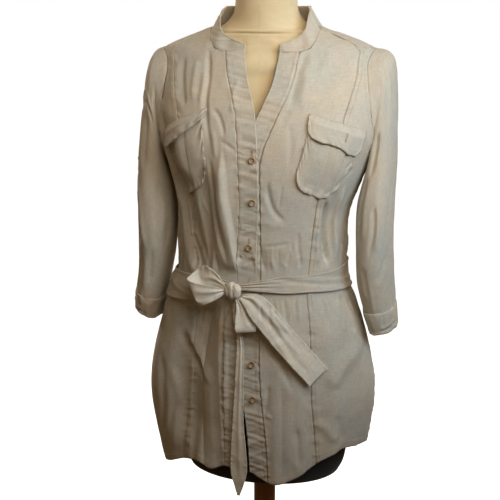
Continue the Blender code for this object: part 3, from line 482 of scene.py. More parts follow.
def crease_path(line, surface):
    """A crease's line, rounded at its bends, as points on a surface."""
    knots = np.array(line, float).reshape(-1, 2)
    spots = np.linspace(0, len(knots) - 1, CREASE_STEPS * (len(knots) - 1) + 1)
    path = np.stack([np.interp(spots, range(len(knots)), knots[:, k]) for k in (0, 1)], axis=1)
    for _ in range(3):
        path[1:-1] = (path[:-2] + 2 * path[1:-1] + path[2:]) / 4
    return surface(path[:, 0], path[:, 1])


def crease_lift(places, outs, creases, surface):
    """How far the creases lift each of these places, in metres."""
    flat = places.reshape(-1, 3)
    out = outs.reshape(-1, 3)
    lift = np.zeros(len(flat))
    for rise, right, left, line in creases:
        path = crease_path(line, surface)
        reach = max(right, left) / 1000
        near = ((flat > path.min(axis=0) - reach) & (flat < path.max(axis=0) + reach)).all(axis=1)
        near = np.nonzero(near)[0]
        if len(near) == 0:
            continue
        start = path[:-1]
        run = np.diff(path, axis=0)
        from_start = flat[near][:, None] - start
        share = np.clip((from_start * run).sum(axis=2) / (run**2).sum(axis=1), 0, 1)
        gap = from_start - share[..., None] * run
        away = np.linalg.norm(gap, axis=2)
        best = away.argmin(axis=1)
        pick = np.arange(len(near))
        along = (best + share[pick, best]) / len(run)
        side = (np.cross(run[best], out[near]) * gap[pick, best]).sum(axis=1)
        fade = smooth_step(along / CREASE_FADE) * smooth_step((1 - along) / CREASE_FADE)
        width = np.where(side > 0, right, left) / 1000 * (CREASE_POINT + (1 - CREASE_POINT) * fade)
        off = np.clip(away[pick, best] / width, 0, 1)
        lift[near] += rise / 1000 * fade * (1 - off) ** 2 * (1 + 1.4 * off)
    return lift.reshape(places.shape[:-1])


def crumple(places, seed, tall=0.6):
    """The fine, uneven crushing of washed linen, in metres."""
    shift = Vector((seed * 3.7, seed * 1.9, seed * 5.3))
    lift = []
    for x, y, z in places.reshape(-1, 3):
        spot = Vector((x, y, z * tall))
        broad = noise.noise(spot / 0.060 + shift)
        middle = noise.noise(spot / 0.023 + shift)
        crisp = abs(noise.noise(spot / 0.031 - shift))
        fine = noise.noise(spot / 0.0085 + shift)
        lift.append(0.0013 * broad + 0.00055 * middle - 0.0011 * crisp + 0.00016 * fine)
    return np.array(lift).reshape(places.shape[:-1])


def wander(x, spacing, seed):
    """A smooth uneven wave along one direction, between -1 and 1."""
    heights = np.random.RandomState(seed).uniform(-1, 1, 4096)
    place = x / spacing + 500
    low = np.floor(place).astype(int) % 4095
    t = smooth_step(place - np.floor(place))
    return heights[low] * (1 - t) + heights[low + 1] * t


def under_belt(turn, height):
    """How freely the cloth can crease here: little under the belt, fully away from it."""
    gap = np.abs(height - read_one(BELT_LINE, signed(turn))) - BELT_HALF_WIDTH * 0.8
    return BELT_GRIP + (1 - BELT_GRIP) * smooth_step(gap / BELT_EASE)


def body_lift(turn, height, places, outs):
    """How far the cloth of the body stands off its smooth shape, creased and crushed."""
    free = under_belt(turn, height)
    creased = crease_lift(places, outs, BODY_CREASES, skin) * free
    return creased + crumple(places, 1) * (0.3 + 0.7 * free)


def on_jacket(turn, height, out=0.0):
    """Points on the creased jacket, moved out by some distance."""
    turn, height = np.broadcast_arrays(np.asarray(turn, float), height)
    places = skin(turn, height)
    outs = skin_out(turn, height)
    return places + outs * (body_lift(turn, height, places, outs) + out)[..., None]


def on_front(across, height, out=0.0):
    return on_jacket(turn_at(across, height), height, out)


print("folds:", len(BODICE_FOLDS + SKIRT_FOLDS), "large ones under the creases")

# %% [markdown]
# ## Finishes
#
# Every finish is a shader made of nodes, so it needs no picture file. Cloth reads a map that each
# piece carries in metres of its own flat cut: the weave then follows the cloth round the body, as it
# does on the real one. Hard pieces read Object coordinates, which are metres in space.


# %% Helpers for finishes
def linear(hex_colour):
    """The linear colour of an sRGB hex value."""
    parts = [int(hex_colour[k : k + 2], 16) / 255 for k in (1, 3, 5)]
    return tuple(p / 12.92 if p <= 0.04045 else ((p + 0.055) / 1.055) ** 2.4 for p in parts) + (1.0,)


def node(finish, kind, links=None, **settings):
    """Adds a node to a finish. Settings name its options or inputs, and links feed its inputs."""
    made = finish.node_tree.nodes.new(kind)
    for name, value in settings.items():
        if hasattr(made, name):
            setattr(made, name, value)
        else:
            made.inputs[name.replace("_", " ")].default_value = value
    for name, source in (links or {}).items():
        finish.node_tree.links.new(source, made.inputs[name])
    return made


def new_finish(name, **settings):
    """A finish with one Principled shader, whose constant inputs are set on its own sockets."""
    finish = bpy.data.materials.new(name)
    finish.use_nodes = True
    shader = finish.node_tree.nodes["Principled BSDF"]
    for socket, value in settings.items():
        shader.inputs[socket.replace("_", " ")].default_value = value
    return finish


def noise_on(finish, source, **settings):
    return node(finish, "ShaderNodeTexNoise", {"Vector": source}, **settings).outputs["Fac"]


def drawn_out(finish, source, scale):
    """The same places, multiplied, so that a pattern on them shrinks along each axis."""
    return node(finish, "ShaderNodeMapping", {"Vector": source}, Scale=scale).outputs[0]


def cut_map(finish):
    """Metres of the piece's own flat cut."""
    return node(finish, "ShaderNodeUVMap", uv_map="cut").outputs["UV"]


def object_place(finish):
    return node(finish, "ShaderNodeTexCoord").outputs["Object"]


def feed(finish, colour, height=None, strength=0.2, distance=0.0004):
    """Feeds a finish its colour and, where there is a height, its fine relief."""
    shader = finish.node_tree.nodes["Principled BSDF"]
    finish.node_tree.links.new(colour, shader.inputs["Base Color"])
    if height:
        bump = node(finish, "ShaderNodeBump", {"Height": height}, Strength=strength, Distance=distance)
        finish.node_tree.links.new(bump.outputs[0], shader.inputs["Normal"])


def ramp(finish, source, *stops):
    """A colour ramp from pairs of place and hex colour."""
    made = node(finish, "ShaderNodeValToRGB", {"Fac": source})
    elements = made.color_ramp.elements
    while len(elements) < len(stops):
        elements.new(0.5)
    for element, (place, colour) in zip(elements, stops):
        element.position = place
        element.color = linear(colour)
    return made.outputs["Color"]


# %% [markdown]
# ## Linen
#
# The jacket is a light plain-weave linen, piece dyed a pale stone colour and washed. Its yarns are
# about 0.5 mm apart, too fine to show from two metres, so the threads here are drawn about four
# times as coarse and faintly. Washing leaves the dye cloudy, here a little grey and there a little
# warm. Linen has no gloss, only a faint sheen from its fibre ends.


# %% Linen
YARN_SCALES = ((480.0, 60.0, 1.0), (55.0, 430.0, 1.0))  # across and along the cut, for weft and warp


def make_linen(name, grey, stone, warm):
    finish = new_finish(
        name, Roughness=0.88, Sheen_Weight=0.10, Sheen_Roughness=0.6, Specular_IOR_Level=0.25
    )
    cut = cut_map(finish)
    weft, warp = (
        noise_on(finish, drawn_out(finish, cut, scale), Scale=1.0, Detail=3.0, Roughness=0.7)
        for scale in YARN_SCALES
    )
    both = node(finish, "ShaderNodeMath", {0: weft, 1: warp}, operation="ADD")
    halved = node(finish, "ShaderNodeMath", {0: both.outputs[0]}, operation="MULTIPLY")
    halved.inputs[1].default_value = 0.5
    weave = halved.outputs[0]
    thread_tone = ramp(finish, weave, (0.36, "#e6e6e4"), (0.62, "#ffffff"))
    cloud = noise_on(finish, cut, Scale=11.0, Detail=5.0, Roughness=0.62)
    dye = ramp(finish, cloud, (0.36, grey), (0.50, stone), (0.64, warm))
    colour = node(
        finish, "ShaderNodeMixRGB", {"Color1": dye, "Color2": thread_tone}, blend_type="MULTIPLY", Fac=1.0
    )
    feed(finish, colour.outputs[0], weave, 0.3, 0.0006)
    return finish


LINEN = make_linen("piece_dyed_linen", "#cbc9be", "#d0c9bb", "#d5cab8")
# The bow, its loops, its ends and the knot wear a lighter copy of the same linen: painted light, standing
# in for the light that these parts catch.
BOW_LINEN_PAINTED_LIGHTER = make_linen("linen_painted_lighter_for_bow", "#e2dfd3", "#e8e1d2", "#ebdfcc")
print("finish:", LINEN.name)

# %% [markdown]
# ## Thread, horn, jersey and wood
#
# The thread is spun polyester dyed to match, a little paler and smoother than the cloth. The buttons
# are pale brown horn, polished and cloudy. The form wears cotton jersey, whose knit runs in fine
# ribs, cream above and black below. The stand is turned beech, stained dark and varnished.

# %% Thread
THREAD = new_finish("polyester_thread", Base_Color=linear("#d8cbb0"), Roughness=0.6)
TWIST = node(THREAD, "ShaderNodeTexNoise", Scale=900.0, Detail=2.0).outputs["Fac"]
feed(THREAD, ramp(THREAD, TWIST, (0.3, "#b5ab98"), (0.7, "#cfc6b6")))
SEAM_THREAD = new_finish("tan_thread", Base_Color=linear("#b39f80"), Roughness=0.6)
HEM_THREAD = new_finish("ochre_thread", Base_Color=linear("#c2a376"), Roughness=0.6)
HOLE_THREAD = new_finish("buttonhole_thread", Base_Color=linear("#a68a66"), Roughness=0.65)
BUTTON_THREAD = new_finish("button_thread", Base_Color=linear("#e4d8c0"), Roughness=0.7)
print("finish:", THREAD.name, SEAM_THREAD.name, HEM_THREAD.name, HOLE_THREAD.name)


# %% Horn
def make_horn():
    finish = new_finish("polished_horn", Roughness=0.3, IOR=1.54, Coat_Weight=0.2)
    cloud = noise_on(finish, object_place(finish), Scale=160.0, Detail=3.0, Distortion=1.2)
    feed(finish, ramp(finish, cloud, (0.30, "#7d5f40"), (0.50, "#a98c68"), (0.72, "#cbb694")))
    return finish


HORN = make_horn()
print("finish:", HORN.name)


# %% Jersey
def make_jersey(name, pale, deep):
    """A fine knit. Its ribs are about 0.7 mm apart and drawn twice as coarse."""
    finish = new_finish(name, Roughness=0.85, Sheen_Weight=0.15, Sheen_Roughness=0.5)
    cut = cut_map(finish)
    ribs = noise_on(finish, drawn_out(finish, cut, (700.0, 160.0, 1.0)), Scale=1.0, Detail=2.0)
    fuzz = noise_on(finish, cut, Scale=14.0, Detail=5.0, Roughness=0.65)
    feed(finish, ramp(finish, fuzz, (0.35, deep), (0.68, pale)), ribs)
    return finish


CREAM_JERSEY = make_jersey("cream_cotton_jersey", "#e6d6b2", "#dcc79c")
BLACK_JERSEY = make_jersey("black_cotton_jersey", "#191817", "#0e0d0d")
print("finish:", CREAM_JERSEY.name, BLACK_JERSEY.name)


# %% Stained wood
def make_wood(name, stretch):
    """Dark stained beech, its grain drawn out along the axis that is stretched the least."""
    finish = new_finish(name, Roughness=0.38, Coat_Weight=0.35, Coat_Roughness=0.2)
    along = drawn_out(finish, object_place(finish), stretch)
    grain = noise_on(finish, along, Scale=1.0, Detail=5.0, Roughness=0.65, Distortion=0.4)
    feed(finish, ramp(finish, grain, (0.30, "#5f3417"), (0.52, "#985b2a"), (0.75, "#bf7c3e")), grain)
    return finish


POLE_WOOD = make_wood("stained_beech_upright", (70.0, 70.0, 5.0))
FOOT_WOOD = make_wood("stained_beech_flat", (5.0, 70.0, 70.0))
print("finish:", POLE_WOOD.name, FOOT_WOOD.name)

# %% [markdown]
# ## Cutting cloth
#
# Blender can drape cloth by simulation, sculpt it, or shape a flat grid. A flat grid is the closest to
# the cutting table: it starts as a rectangle of even squares, each corner is sent to its place on
# the body, and a Solidify modifier gives it the thickness of the cloth inwards. The grid's own
# lengths, in metres, become the map that the weave reads.


# %% Helpers that cut a sheet
SHEETS = {}
MERGE = 1e-6  # corners closer than this are one


def faces_out(points):
    """The direction out of each corner of a sheet whose rows run across and columns run up."""
    across = np.gradient(points, axis=1)
    up = np.gradient(points, axis=0)
    return unit(np.cross(across, up) + 1e-12)


def lengths(points):
    """Distance along each row from its first corner, and along each column from its lowest."""
    across = np.linalg.norm(np.diff(points, axis=1), axis=2)
    up = np.linalg.norm(np.diff(points, axis=0), axis=2)
    return (
        np.pad(np.cumsum(across, axis=1), ((0, 0), (1, 0))),
        np.pad(np.cumsum(up, axis=0), ((1, 0), (0, 0))),
    )


def mesh_from(work, name):
    """The finished mesh of a bmesh, which is freed."""
    mesh = bpy.data.meshes.new(name)
    work.to_mesh(mesh)
    work.free()
    return mesh


def corner_places(mesh):
    flat = np.empty(len(mesh.vertices) * 3)
    mesh.vertices.foreach_get("co", flat)
    return flat.reshape(-1, 3)


def give_cut(mesh, places):
    """The map that cloth reads: where each corner lies on its piece's own flat cut, in metres."""
    corners = np.empty(len(mesh.loops), int)
    mesh.loops.foreach_get("vertex_index", corners)
    cut = mesh.uv_layers.new(name="cut")
    cut.data.foreach_set("uv", places[corners].ravel())


def add_piece(name, mesh, *finishes):
    piece = bpy.data.objects.new(name, mesh)
    for finish in finishes:
        mesh.materials.append(finish)
    bpy.context.scene.collection.objects.link(piece)
    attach(piece, "root")
    return piece


def cut_sheet(name, points, finish, wall=CLOTH, wrap=False):
    """The sheet that stands for a CAD node, its corners, in rows of columns, at these points."""
    rows, columns = points.shape[0] - 1, points.shape[1] - 1
    work = bmesh.new()
    bmesh.ops.create_grid(work, x_segments=columns, y_segments=rows, size=0.5)
    mesh = mesh_from(work, name)
    flat = corner_places(mesh)
    i = np.rint((flat[:, 0] + 0.5) * columns).astype(int)
    j = np.rint((flat[:, 1] + 0.5) * rows).astype(int)
    mesh.vertices.foreach_set("co", points[j, i].ravel())
    across, up = lengths(points)
    across = across - across[:, columns // 2 : columns // 2 + 1]
    up = np.repeat(up.mean(axis=1, keepdims=True), columns + 1, axis=1)
    give_cut(mesh, np.stack([across[j, i], up[j, i]], axis=1))
    if wrap:
        work = bmesh.new()
        work.from_mesh(mesh)
        bmesh.ops.remove_doubles(work, verts=work.verts, dist=MERGE)
        work.to_mesh(mesh)
        work.free()
    mesh.shade_smooth()
    piece = add_piece(name + "_sheet", mesh, finish)
    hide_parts(name)
    if wall:
        thick = piece.modifiers.new("cloth", "SOLIDIFY")
        thick.thickness = wall
        thick.offset = -1.0
    SHEETS[name] = points


# %% [markdown]
# ## Topstitching
#
# Every seam of a safari jacket is topstitched, mostly twice. The stitches could be painted on, but
# they catch the light as small raised beads, so each one is a bead of 20 faces laid along a row.
# The real stitches are 2.5 mm long; these are 2.8 mm, so that they still show.

# %% Helpers that sew
STITCH_STEP = 0.0036
STITCH_SIZE = (0.0014, 0.00048, 0.0004)  # half sizes along, across and out of the cloth
STITCH_SUNK = 0.35  # how far its middle stands out, as a share of its own half thickness
PATCH_STEPS = (161, 240)  # places across a patch's lower edge, and along its whole outline


def inside_edge(name, edge, inset, first=0.0):
    """A line on a sheet this far inside one of its edges, with the direction out of the cloth.

    It starts at the share of the edge's length that first gives.
    """
    points = SHEETS[name]
    outs = faces_out(points)
    if edge in ("low", "high"):
        points = points.transpose(1, 0, 2)
        outs = outs.transpose(1, 0, 2)
    if edge in ("left", "high"):
        points = points[:, ::-1]
        outs = outs[:, ::-1]
    path = []
    out = []
    for points_row, outs_row, across in zip(points, outs, lengths(points)[0]):
        if across[-1] < inset * 1.2:
            continue
        at = np.interp(inset, across, np.arange(len(across)))
        k = min(int(at), len(across) - 2)
        share = at - k
        path.append(points_row[k] * (1 - share) + points_row[k + 1] * share)
        out.append(outs_row[k])
    start = round(first * (len(path) - 1))
    return np.array(path[start:]), np.array(out[start:])


def on_row(values, along, at):
    """A row's place or direction at this distance along it."""
    return Vector([np.interp(at, along, values[:, k]) for k in range(3)])


def sew(name, rows, finish, size=STITCH_SIZE, step=STITCH_STEP):
    """One piece of all these rows of stitches."""
    dice = np.random.RandomState(len(name))
    whole = bmesh.new()
    scratch = bpy.data.meshes.new("scratch")
    count = 0
    shape = Matrix.Diagonal((*size, 1.0))
    for path, outs in rows:
        along = np.concatenate([[0], np.cumsum(np.linalg.norm(np.diff(path, axis=0), axis=1))])
        work = bmesh.new()
        for start in np.arange(0.3 * step, along[-1] - 0.7 * step, step):
            middle = start + step * (0.5 + dice.uniform(-0.05, 0.05))
            place = on_row(path, along, middle)
            out = on_row(outs, along, middle).normalized()
            run = (on_row(path, along, middle + step / 3) - place).normalized()
            side = out.cross(run).normalized()
            turned = Matrix((run, side, run.cross(side))).transposed().to_4x4()
            seat = Matrix.Translation(place + out * size[2] * STITCH_SUNK)
            bmesh.ops.create_icosphere(work, subdivisions=1, radius=1.0, matrix=seat @ turned @ shape)
            count += 1
        work.to_mesh(scratch)
        work.free()
        whole.from_mesh(scratch)
    mesh = mesh_from(whole, name)
    bpy.data.meshes.remove(scratch)
    mesh.shade_smooth()
    add_piece(name, mesh, finish)
    print(f"{name}: {count} stitches")


def patch_row(name, side, half_width, top, edge, inset):
    """A row round the sides and bottom of a patch, this far inside its outline.

    edge gives how far down the patch ends, for places across it.
    """
    points = SHEETS[name]
    outs = faces_out(points)
    across = half_width * np.linspace(-1, 1, PATCH_STEPS[0])
    low = edge(across)
    outline = np.concatenate(
        [[(-half_width, top)], np.stack([across, low], axis=1), [(half_width, top)]]
    )
    along = np.concatenate([[0], np.cumsum(np.linalg.norm(np.diff(outline, axis=0), axis=1))])
    even_steps = np.linspace(0, along[-1], PATCH_STEPS[1])
    outline = np.stack([np.interp(even_steps, along, outline[:, k]) for k in (0, 1)], axis=1)
    run = unit(np.gradient(outline, axis=0))
    for _ in range(3):
        run[1:-1] = unit(run[:-2] + run[1:-1] + run[2:])
    row = outline + inset * np.stack([run[:, 1], -run[:, 0]], axis=1)
    row = row[(np.abs(row[:, 0]) < half_width) & (row[:, 1] > top)]
    columns, rows = points.shape[1] - 1, points.shape[0] - 1
    column = (side * row[:, 0] / half_width + 1) / 2 * columns
    height = (1 - (row[:, 1] - top) / (edge(row[:, 0]) - top)) * rows
    keep = (height > 0) & (column > 0) & (column < columns)
    column, height = column[keep], height[keep]
    i, j = np.minimum(height.astype(int), rows - 1), np.minimum(column.astype(int), columns - 1)
    u, v = (height - i)[:, None], (column - j)[:, None]
    path = (points[i, j] * (1 - v) + points[i, j + 1] * v) * (1 - u)
    path = path + (points[i + 1, j] * (1 - v) + points[i + 1, j + 1] * v) * u
    return path, outs[i, j]


print("stitches:", STITCH_STEP * 1000, "mm apart")

# %% [markdown]
# ## The body's panels
#
# A shirt jacket's body is a back, two centre fronts, two side fronts joined to them by curved
# princess seams, and a sewn-on band down each front edge. Each panel's grid runs from one border to
# the other and from the hem to its top. Near a seam the cloth is thicker and gathered a little by
# its thread, so a seam shows as a narrow groove, a flat welt beside it and small puckers.

# %% Levels and borders of the panels
ARMHOLE_MIDDLE = (UNDERARM + SHOULDER_END) / 2
ARMHOLE_HALF = (SHOULDER_END - UNDERARM) / 2
ARMHOLE_LEVELS = ARMHOLE_MIDDLE - ARMHOLE_HALF * np.cos(np.linspace(0, np.pi, 61))
LOW_LEVELS = np.linspace(HEM_LEVEL, UNDERARM, 176)[:-1]
TOP_LEVELS = np.linspace(NECKLINE_FRONT, NECKLINE[-1][0], 25)


def hemmed(turn, height):
    """Brings a low level down to the hem's curve."""
    share = np.maximum(0.0, (HEM_BLEND_TOP - height) / (HEM_BLEND_TOP - HEM_LEVEL))
    return height + (read_one(HEM, signed(turn)) - HEM_LEVEL) * share


def armhole_reach(height):
    return np.sqrt(np.clip(1 - ((height - ARMHOLE_MIDDLE) / ARMHOLE_HALF) ** 2, 0, 1))


def band_seam(side, height):
    """Turn of the seam between a front and its band."""
    if side < 0:
        return turn_at(read_one(RIGHT_EDGE, height) - BAND_WIDTH, height)
    return turn_at(read_one(LEFT_EDGE, height) + BAND_WIDTH, height)


def front_seam(side, height):
    """The same seam, and above the band the neckline."""
    start = float(band_seam(side, np.array(NECKLINE_FRONT)))
    levels = [NECKLINE_FRONT] + [row[0] for row in NECKLINE]
    turns = [start] + [side * row[1] for row in NECKLINE]
    return np.where(height > NECKLINE_FRONT, np.interp(height, levels, turns), band_seam(side, height))


def princess(side, height):
    above = np.interp(height, (SHOULDER_END, 1.356), (PRINCESS[-1][1], SHOULDER_SEAM_TURN))
    return side * np.where(height > SHOULDER_END, above, read_one(PRINCESS, height))


def side_front_end(side, height):
    below = SIDE_TURN - ARMHOLE_FRONT * armhole_reach(height)
    return side * np.where(height > SHOULDER_END, SHOULDER_SEAM_TURN, below)


def back_start(height):
    return np.where(
        height > SHOULDER_END, SHOULDER_SEAM_TURN, SIDE_TURN + ARMHOLE_BACK * armhole_reach(height)
    )


def front_edge(side, height):
    return turn_at(read_one(RIGHT_EDGE if side < 0 else LEFT_EDGE, height), height)


# %% A panel with its seams
GROOVE = (0.0005, 0.0013)  # depth and half width of the line where two pieces meet
WELT_RISE = 0.0005
PUCKER = 0.0013
PUCKER_REACH = 0.004  # how far past the welt the puckers run
HEM_WIDTH = 0.013
HEM_RISE = 0.0005
HEM_WAVE = (0.0006, 0.016)  # how high the hem waves, and how far up
BAND_RIPPLE = 0.0013


def seam_relief(away, along, seed, welt, strength):
    """Groove, welt and puckers of cloth this far from a seam, at this place along it."""
    groove = -GROOVE[0] * bell(away / GROOVE[1])
    raised = WELT_RISE * smooth_step((welt + 0.001 - away) / 0.002) * smooth_step(away / 0.002)
    waves = wander(along + away * 0.35, 0.0046, seed) + 0.6 * wander(along - away * 0.2, 0.0085, seed + 1)
    pucker = PUCKER * strength * waves * bell(away / (welt + PUCKER_REACH))
    return groove + raised + pucker


def ripples(across, height, seed):
    """A doubled band shrinks on its stitches, so it ripples slantwise all the way down."""
    steep = wander(height + 0.25 * across, 0.0036, seed + 7)
    return steep + 0.7 * wander(height - 0.4 * across, 0.0062, seed + 8)


def panel(name, levels, start, end, columns, seams, seed, under=None):
    """seams gives, for the panel's first and last border, the seam's seed, welt width and puckering."""
    levels = np.asarray(levels)[:, None]
    share = np.linspace(0, 1, columns + 1)[None, :]
    low = start(levels)
    high = end(levels)
    size = read(JACKET_SECTIONS, levels)[:3]
    first = even(low, *size)
    turn = from_even(first + (even(high, *size) - first) * share, *size)
    height = hemmed(turn, levels + 0 * share)
    places = skin(turn, height)
    outs = skin_out(turn, height)
    free = under_belt(turn, height)
    lift = body_lift(turn, height, places, outs)
    across, up = lengths(places)
    for away, seam in zip((across, across[:, -1:] - across), seams):
        lift += seam_relief(away, height, *seam) * free
    lift += HEM_RISE * smooth_step((HEM_WIDTH - up) / 0.002)
    lift += HEM_WAVE[0] * wander(across, 0.009, seed + 40) * bell(up / HEM_WAVE[1])
    if "band" in name:
        lift += BAND_RIPPLE * ripples(across, height, seed) * (0.35 + 0.65 * free)
    if under is not None:
        lift -= read_one(under, levels)
    cut_sheet(name, places + outs * lift[..., None], LINEN)
    print(f"{name}: {columns} by {len(levels) - 1}")


# %% Fronts, bands and back
BAND_LEVELS = np.concatenate([LOW_LEVELS, np.linspace(UNDERARM, NECKLINE_FRONT, 65)])
FRONT_LEVELS = np.concatenate([BAND_LEVELS, TOP_LEVELS[1:]])
SIDE_LEVELS = np.concatenate([LOW_LEVELS, ARMHOLE_LEVELS, np.linspace(SHOULDER_END + SEAM, 1.3555, 7)])
BACK_TOP = np.concatenate([[SHOULDER_END + SEAM], np.linspace(1.350, NECKLINE_SIDE, 18)])
BACK_LOW = np.linspace(HEM_LEVEL, UNDERARM, 150)[:-1]
BACK_LEVELS = np.concatenate([BACK_LOW, ARMHOLE_LEVELS, BACK_TOP])

# Each seam's seed on the right half, the width of its welt and how much it puckers.
PRINCESS_SEAM = (100, 0.002, 1.0)
PRINCESS_WELT = (100, 0.010, 1.2)
BAND_SEAM = (200, 0.002, 0.8)
BAND_WELT = (200, 0.007, 0.7)
FRONT_EDGE = (205, 0.003, 0.5)
SIDE_SEAM = (300, 0.006, 0.6)
# A front panel's levels, inner and outer border, columns, and the seams at those borders.
FRONT = (FRONT_LEVELS, front_seam, princess, 54, (BAND_SEAM, PRINCESS_SEAM))
SIDE_FRONT = (SIDE_LEVELS, princess, side_front_end, 46, (PRINCESS_WELT, SIDE_SEAM))
BAND = (BAND_LEVELS, front_edge, front_seam, 20, (FRONT_EDGE, BAND_WELT))


def on_half(side, seam):
    """The same kind of seam with its own puckers: the left half's seed is one more."""
    return (seam[0] + (side > 0), *seam[1:])


def front_panel(name, side, levels, inner, outer, columns, seams, seed, under=None):
    """Its inner border is the panel's first one on the left half of the jacket only."""
    borders = (partial(inner, side), partial(outer, side))
    seams = [on_half(side, seam) for seam in seams]
    panel(name, levels, *borders[::side], columns, seams[::side], seed, under)


def back_end(height):
    return 360.0 - back_start(height)


front_panel("front_left", 1, *FRONT, 1)
front_panel("front_right", -1, *FRONT, 2)
front_panel("side_front_left", 1, *SIDE_FRONT, 3)
front_panel("side_front_right", -1, *SIDE_FRONT, 4)
front_panel("front_band_right", -1, *BAND, 5)
front_panel("button_band_left", 1, *BAND, 6, LEFT_BAND_UNDER)
SIDES_OF_BACK = (on_half(1, SIDE_SEAM), SIDE_SEAM)
panel("back", BACK_LEVELS, back_start, back_end, 140, SIDES_OF_BACK, 7)

# %% [markdown]
# ## The stand collar
#
# The collar is one straight band, folded double and set upright on the neckline. Its front ends are
# cut round and stand away from the neck. A strip lofted along the neckline gives that, leaning in as
# it rises, least at the front and back.

# %% Collar
COLLAR_RISE = 0.0355
COLLAR_LEAN = 0.60
COLLAR_END_LEAN = 0.16
COLLAR_FRONT_RISE = 0.012
COLLAR_CORNER = 3.0  # points of the neckline over which each end is rounded
COLLAR_SEAT = 0.0012  # how far its lower edge reaches under the neckline
BACK_COLUMNS = 16
# Distance from each front end, half width and rise of the hollow and ridge where it turns.
COLLAR_BENDS = ((0.036, 0.012, -0.002), (0.058, 0.014, 0.0016))


def collar_base():
    """Turns and heights of the seam under the collar, from right front to left front."""
    level = np.array(NECKLINE_FRONT)
    right, left = (
        [(float(border(side, level)), NECKLINE_FRONT) for border in (front_edge, band_seam)]
        + [(side * turn, height) for height, turn in NECKLINE]
        for side in (-1, 1)
    )
    size = read(JACKET_SECTIONS, NECKLINE_SIDE)[:3]
    first = float(even(SHOULDER_SEAM_TURN, *size))
    steps = first + (360.0 - 2 * first) * np.arange(BACK_COLUMNS + 1) / BACK_COLUMNS
    round_back = [(-float(from_even(step, *size)), NECKLINE_SIDE) for step in steps]
    return np.array(right + round_back + left[::-1])


def make_collar(columns=300, rows=22):
    base = collar_base()
    last = len(base) - 1
    k = last * (1 - np.linspace(0, 1, columns + 1))[None, :]
    up_share = np.linspace(0, 1, rows + 1)[:, None]
    turns = np.degrees(np.unwrap(np.radians(base[:, 0])))
    turn = np.interp(k, range(len(base)), turns)
    height = np.interp(k, range(len(base)), base[:, 1])
    for _ in range(40):
        turn[:, 1:-1] = (turn[:, :-2] + 2 * turn[:, 1:-1] + turn[:, 2:]) / 4
        height[:, 1:-1] = (height[:, :-2] + 2 * height[:, 1:-1] + height[:, 2:]) / 4
    foot = skin(turn, height)
    from_end = np.minimum(k, last - k)
    rounding = np.minimum(1.0, from_end / COLLAR_CORNER) ** 0.7
    rise = COLLAR_FRONT_RISE + (COLLAR_RISE - COLLAR_FRONT_RISE) * rounding
    inward = np.stack([-np.sin(np.radians(turn)), np.cos(np.radians(turn)), 0 * turn], axis=-1)
    sideways = np.sin(np.radians(turn)) ** 2
    lean = COLLAR_LEAN * sideways + COLLAR_END_LEAN * (1 - sideways)
    up = rise * up_share
    points = foot + inward * (up * lean)[..., None]
    points[..., 2] += up - COLLAR_SEAT
    outs = faces_out(points)
    across, tall = lengths(points)
    lift = seam_relief(tall, across, 411, 0.006, 0.7)
    lift += 0.0005 * wander(across, 0.006, 412) * smooth_step(tall / 0.01)
    lift += 0.0004 * smooth_step((0.003 - (tall[-1:] - tall)) / 0.0015)
    lift += 0.0006 * smooth_step(1 - tall / 0.005)
    lift += crumple(points, 8) * 0.6
    for middle, width, most in COLLAR_BENDS:
        for way in (across, across[:, -1:] - across):
            lift += most * bell((way - middle) / width) * smooth_step(tall / 0.008)
    cut_sheet("collar", points + outs * lift[..., None], LINEN)
    print("collar:", columns, "by", rows)


make_collar()

# %% [markdown]
# ## Sleeves
#
# Each sleeve is cut in one piece and closed under the arm. It starts on the armhole's oval and runs
# down through rings that follow a slightly bent, empty arm. Its creases gather at the armhole and
# at the elbow. The turned-up cuff lies over its lower end.

# %% Sleeve sizes: outer edge across and up, inner edge across and up, middle and half depth
SLEEVE_LEFT = (
    (0.214, 1.342, 0.194, 1.134, 0.006, 0.0615), (0.2265, 1.329, 0.187, 1.122, 0.008, 0.065),
    (0.233, 1.3, 0.179, 1.105, 0.008, 0.066), (0.2365, 1.25, 0.1725, 1.085, 0.006, 0.066),
    (0.238, 1.19, 0.169, 1.06, 0.002, 0.0655), (0.2375, 1.11, 0.17, 1.02, -0.005, 0.065),
    (0.237, 1.02, 0.172, 0.97, -0.008, 0.0635), (0.2395, 0.95, 0.175, 0.923, -0.003, 0.062),
    (0.244, 0.89, 0.1855, 0.879, 0.004, 0.06), (0.2465, 0.848, 0.1985, 0.838, 0.01, 0.057),
)
SLEEVE_RIGHT = (
    (0.202, 1.341, 0.183, 1.134, 0.006, 0.0615), (0.2135, 1.328, 0.179, 1.122, 0.008, 0.065),
    (0.2215, 1.3, 0.174, 1.105, 0.008, 0.066), (0.227, 1.25, 0.1705, 1.085, 0.006, 0.066),
    (0.233, 1.19, 0.17, 1.06, 0.002, 0.066), (0.2375, 1.11, 0.1705, 1.02, -0.005, 0.066),
    (0.238, 1.02, 0.177, 0.97, -0.007, 0.0645), (0.2395, 0.95, 0.188, 0.923, -0.001, 0.063),
    (0.2475, 0.898, 0.198, 0.879, 0.004, 0.062), (0.2505, 0.864, 0.209, 0.838, 0.01, 0.06),
)
SLEEVE_SQUARENESS = 2.3
CUFF_DROP = 0.003
CUFF_HEIGHT = 0.0405
EASE = (0.0009, 0.011, 0.02)  # height and spacing of the sleeve head's waves, and how far down they run

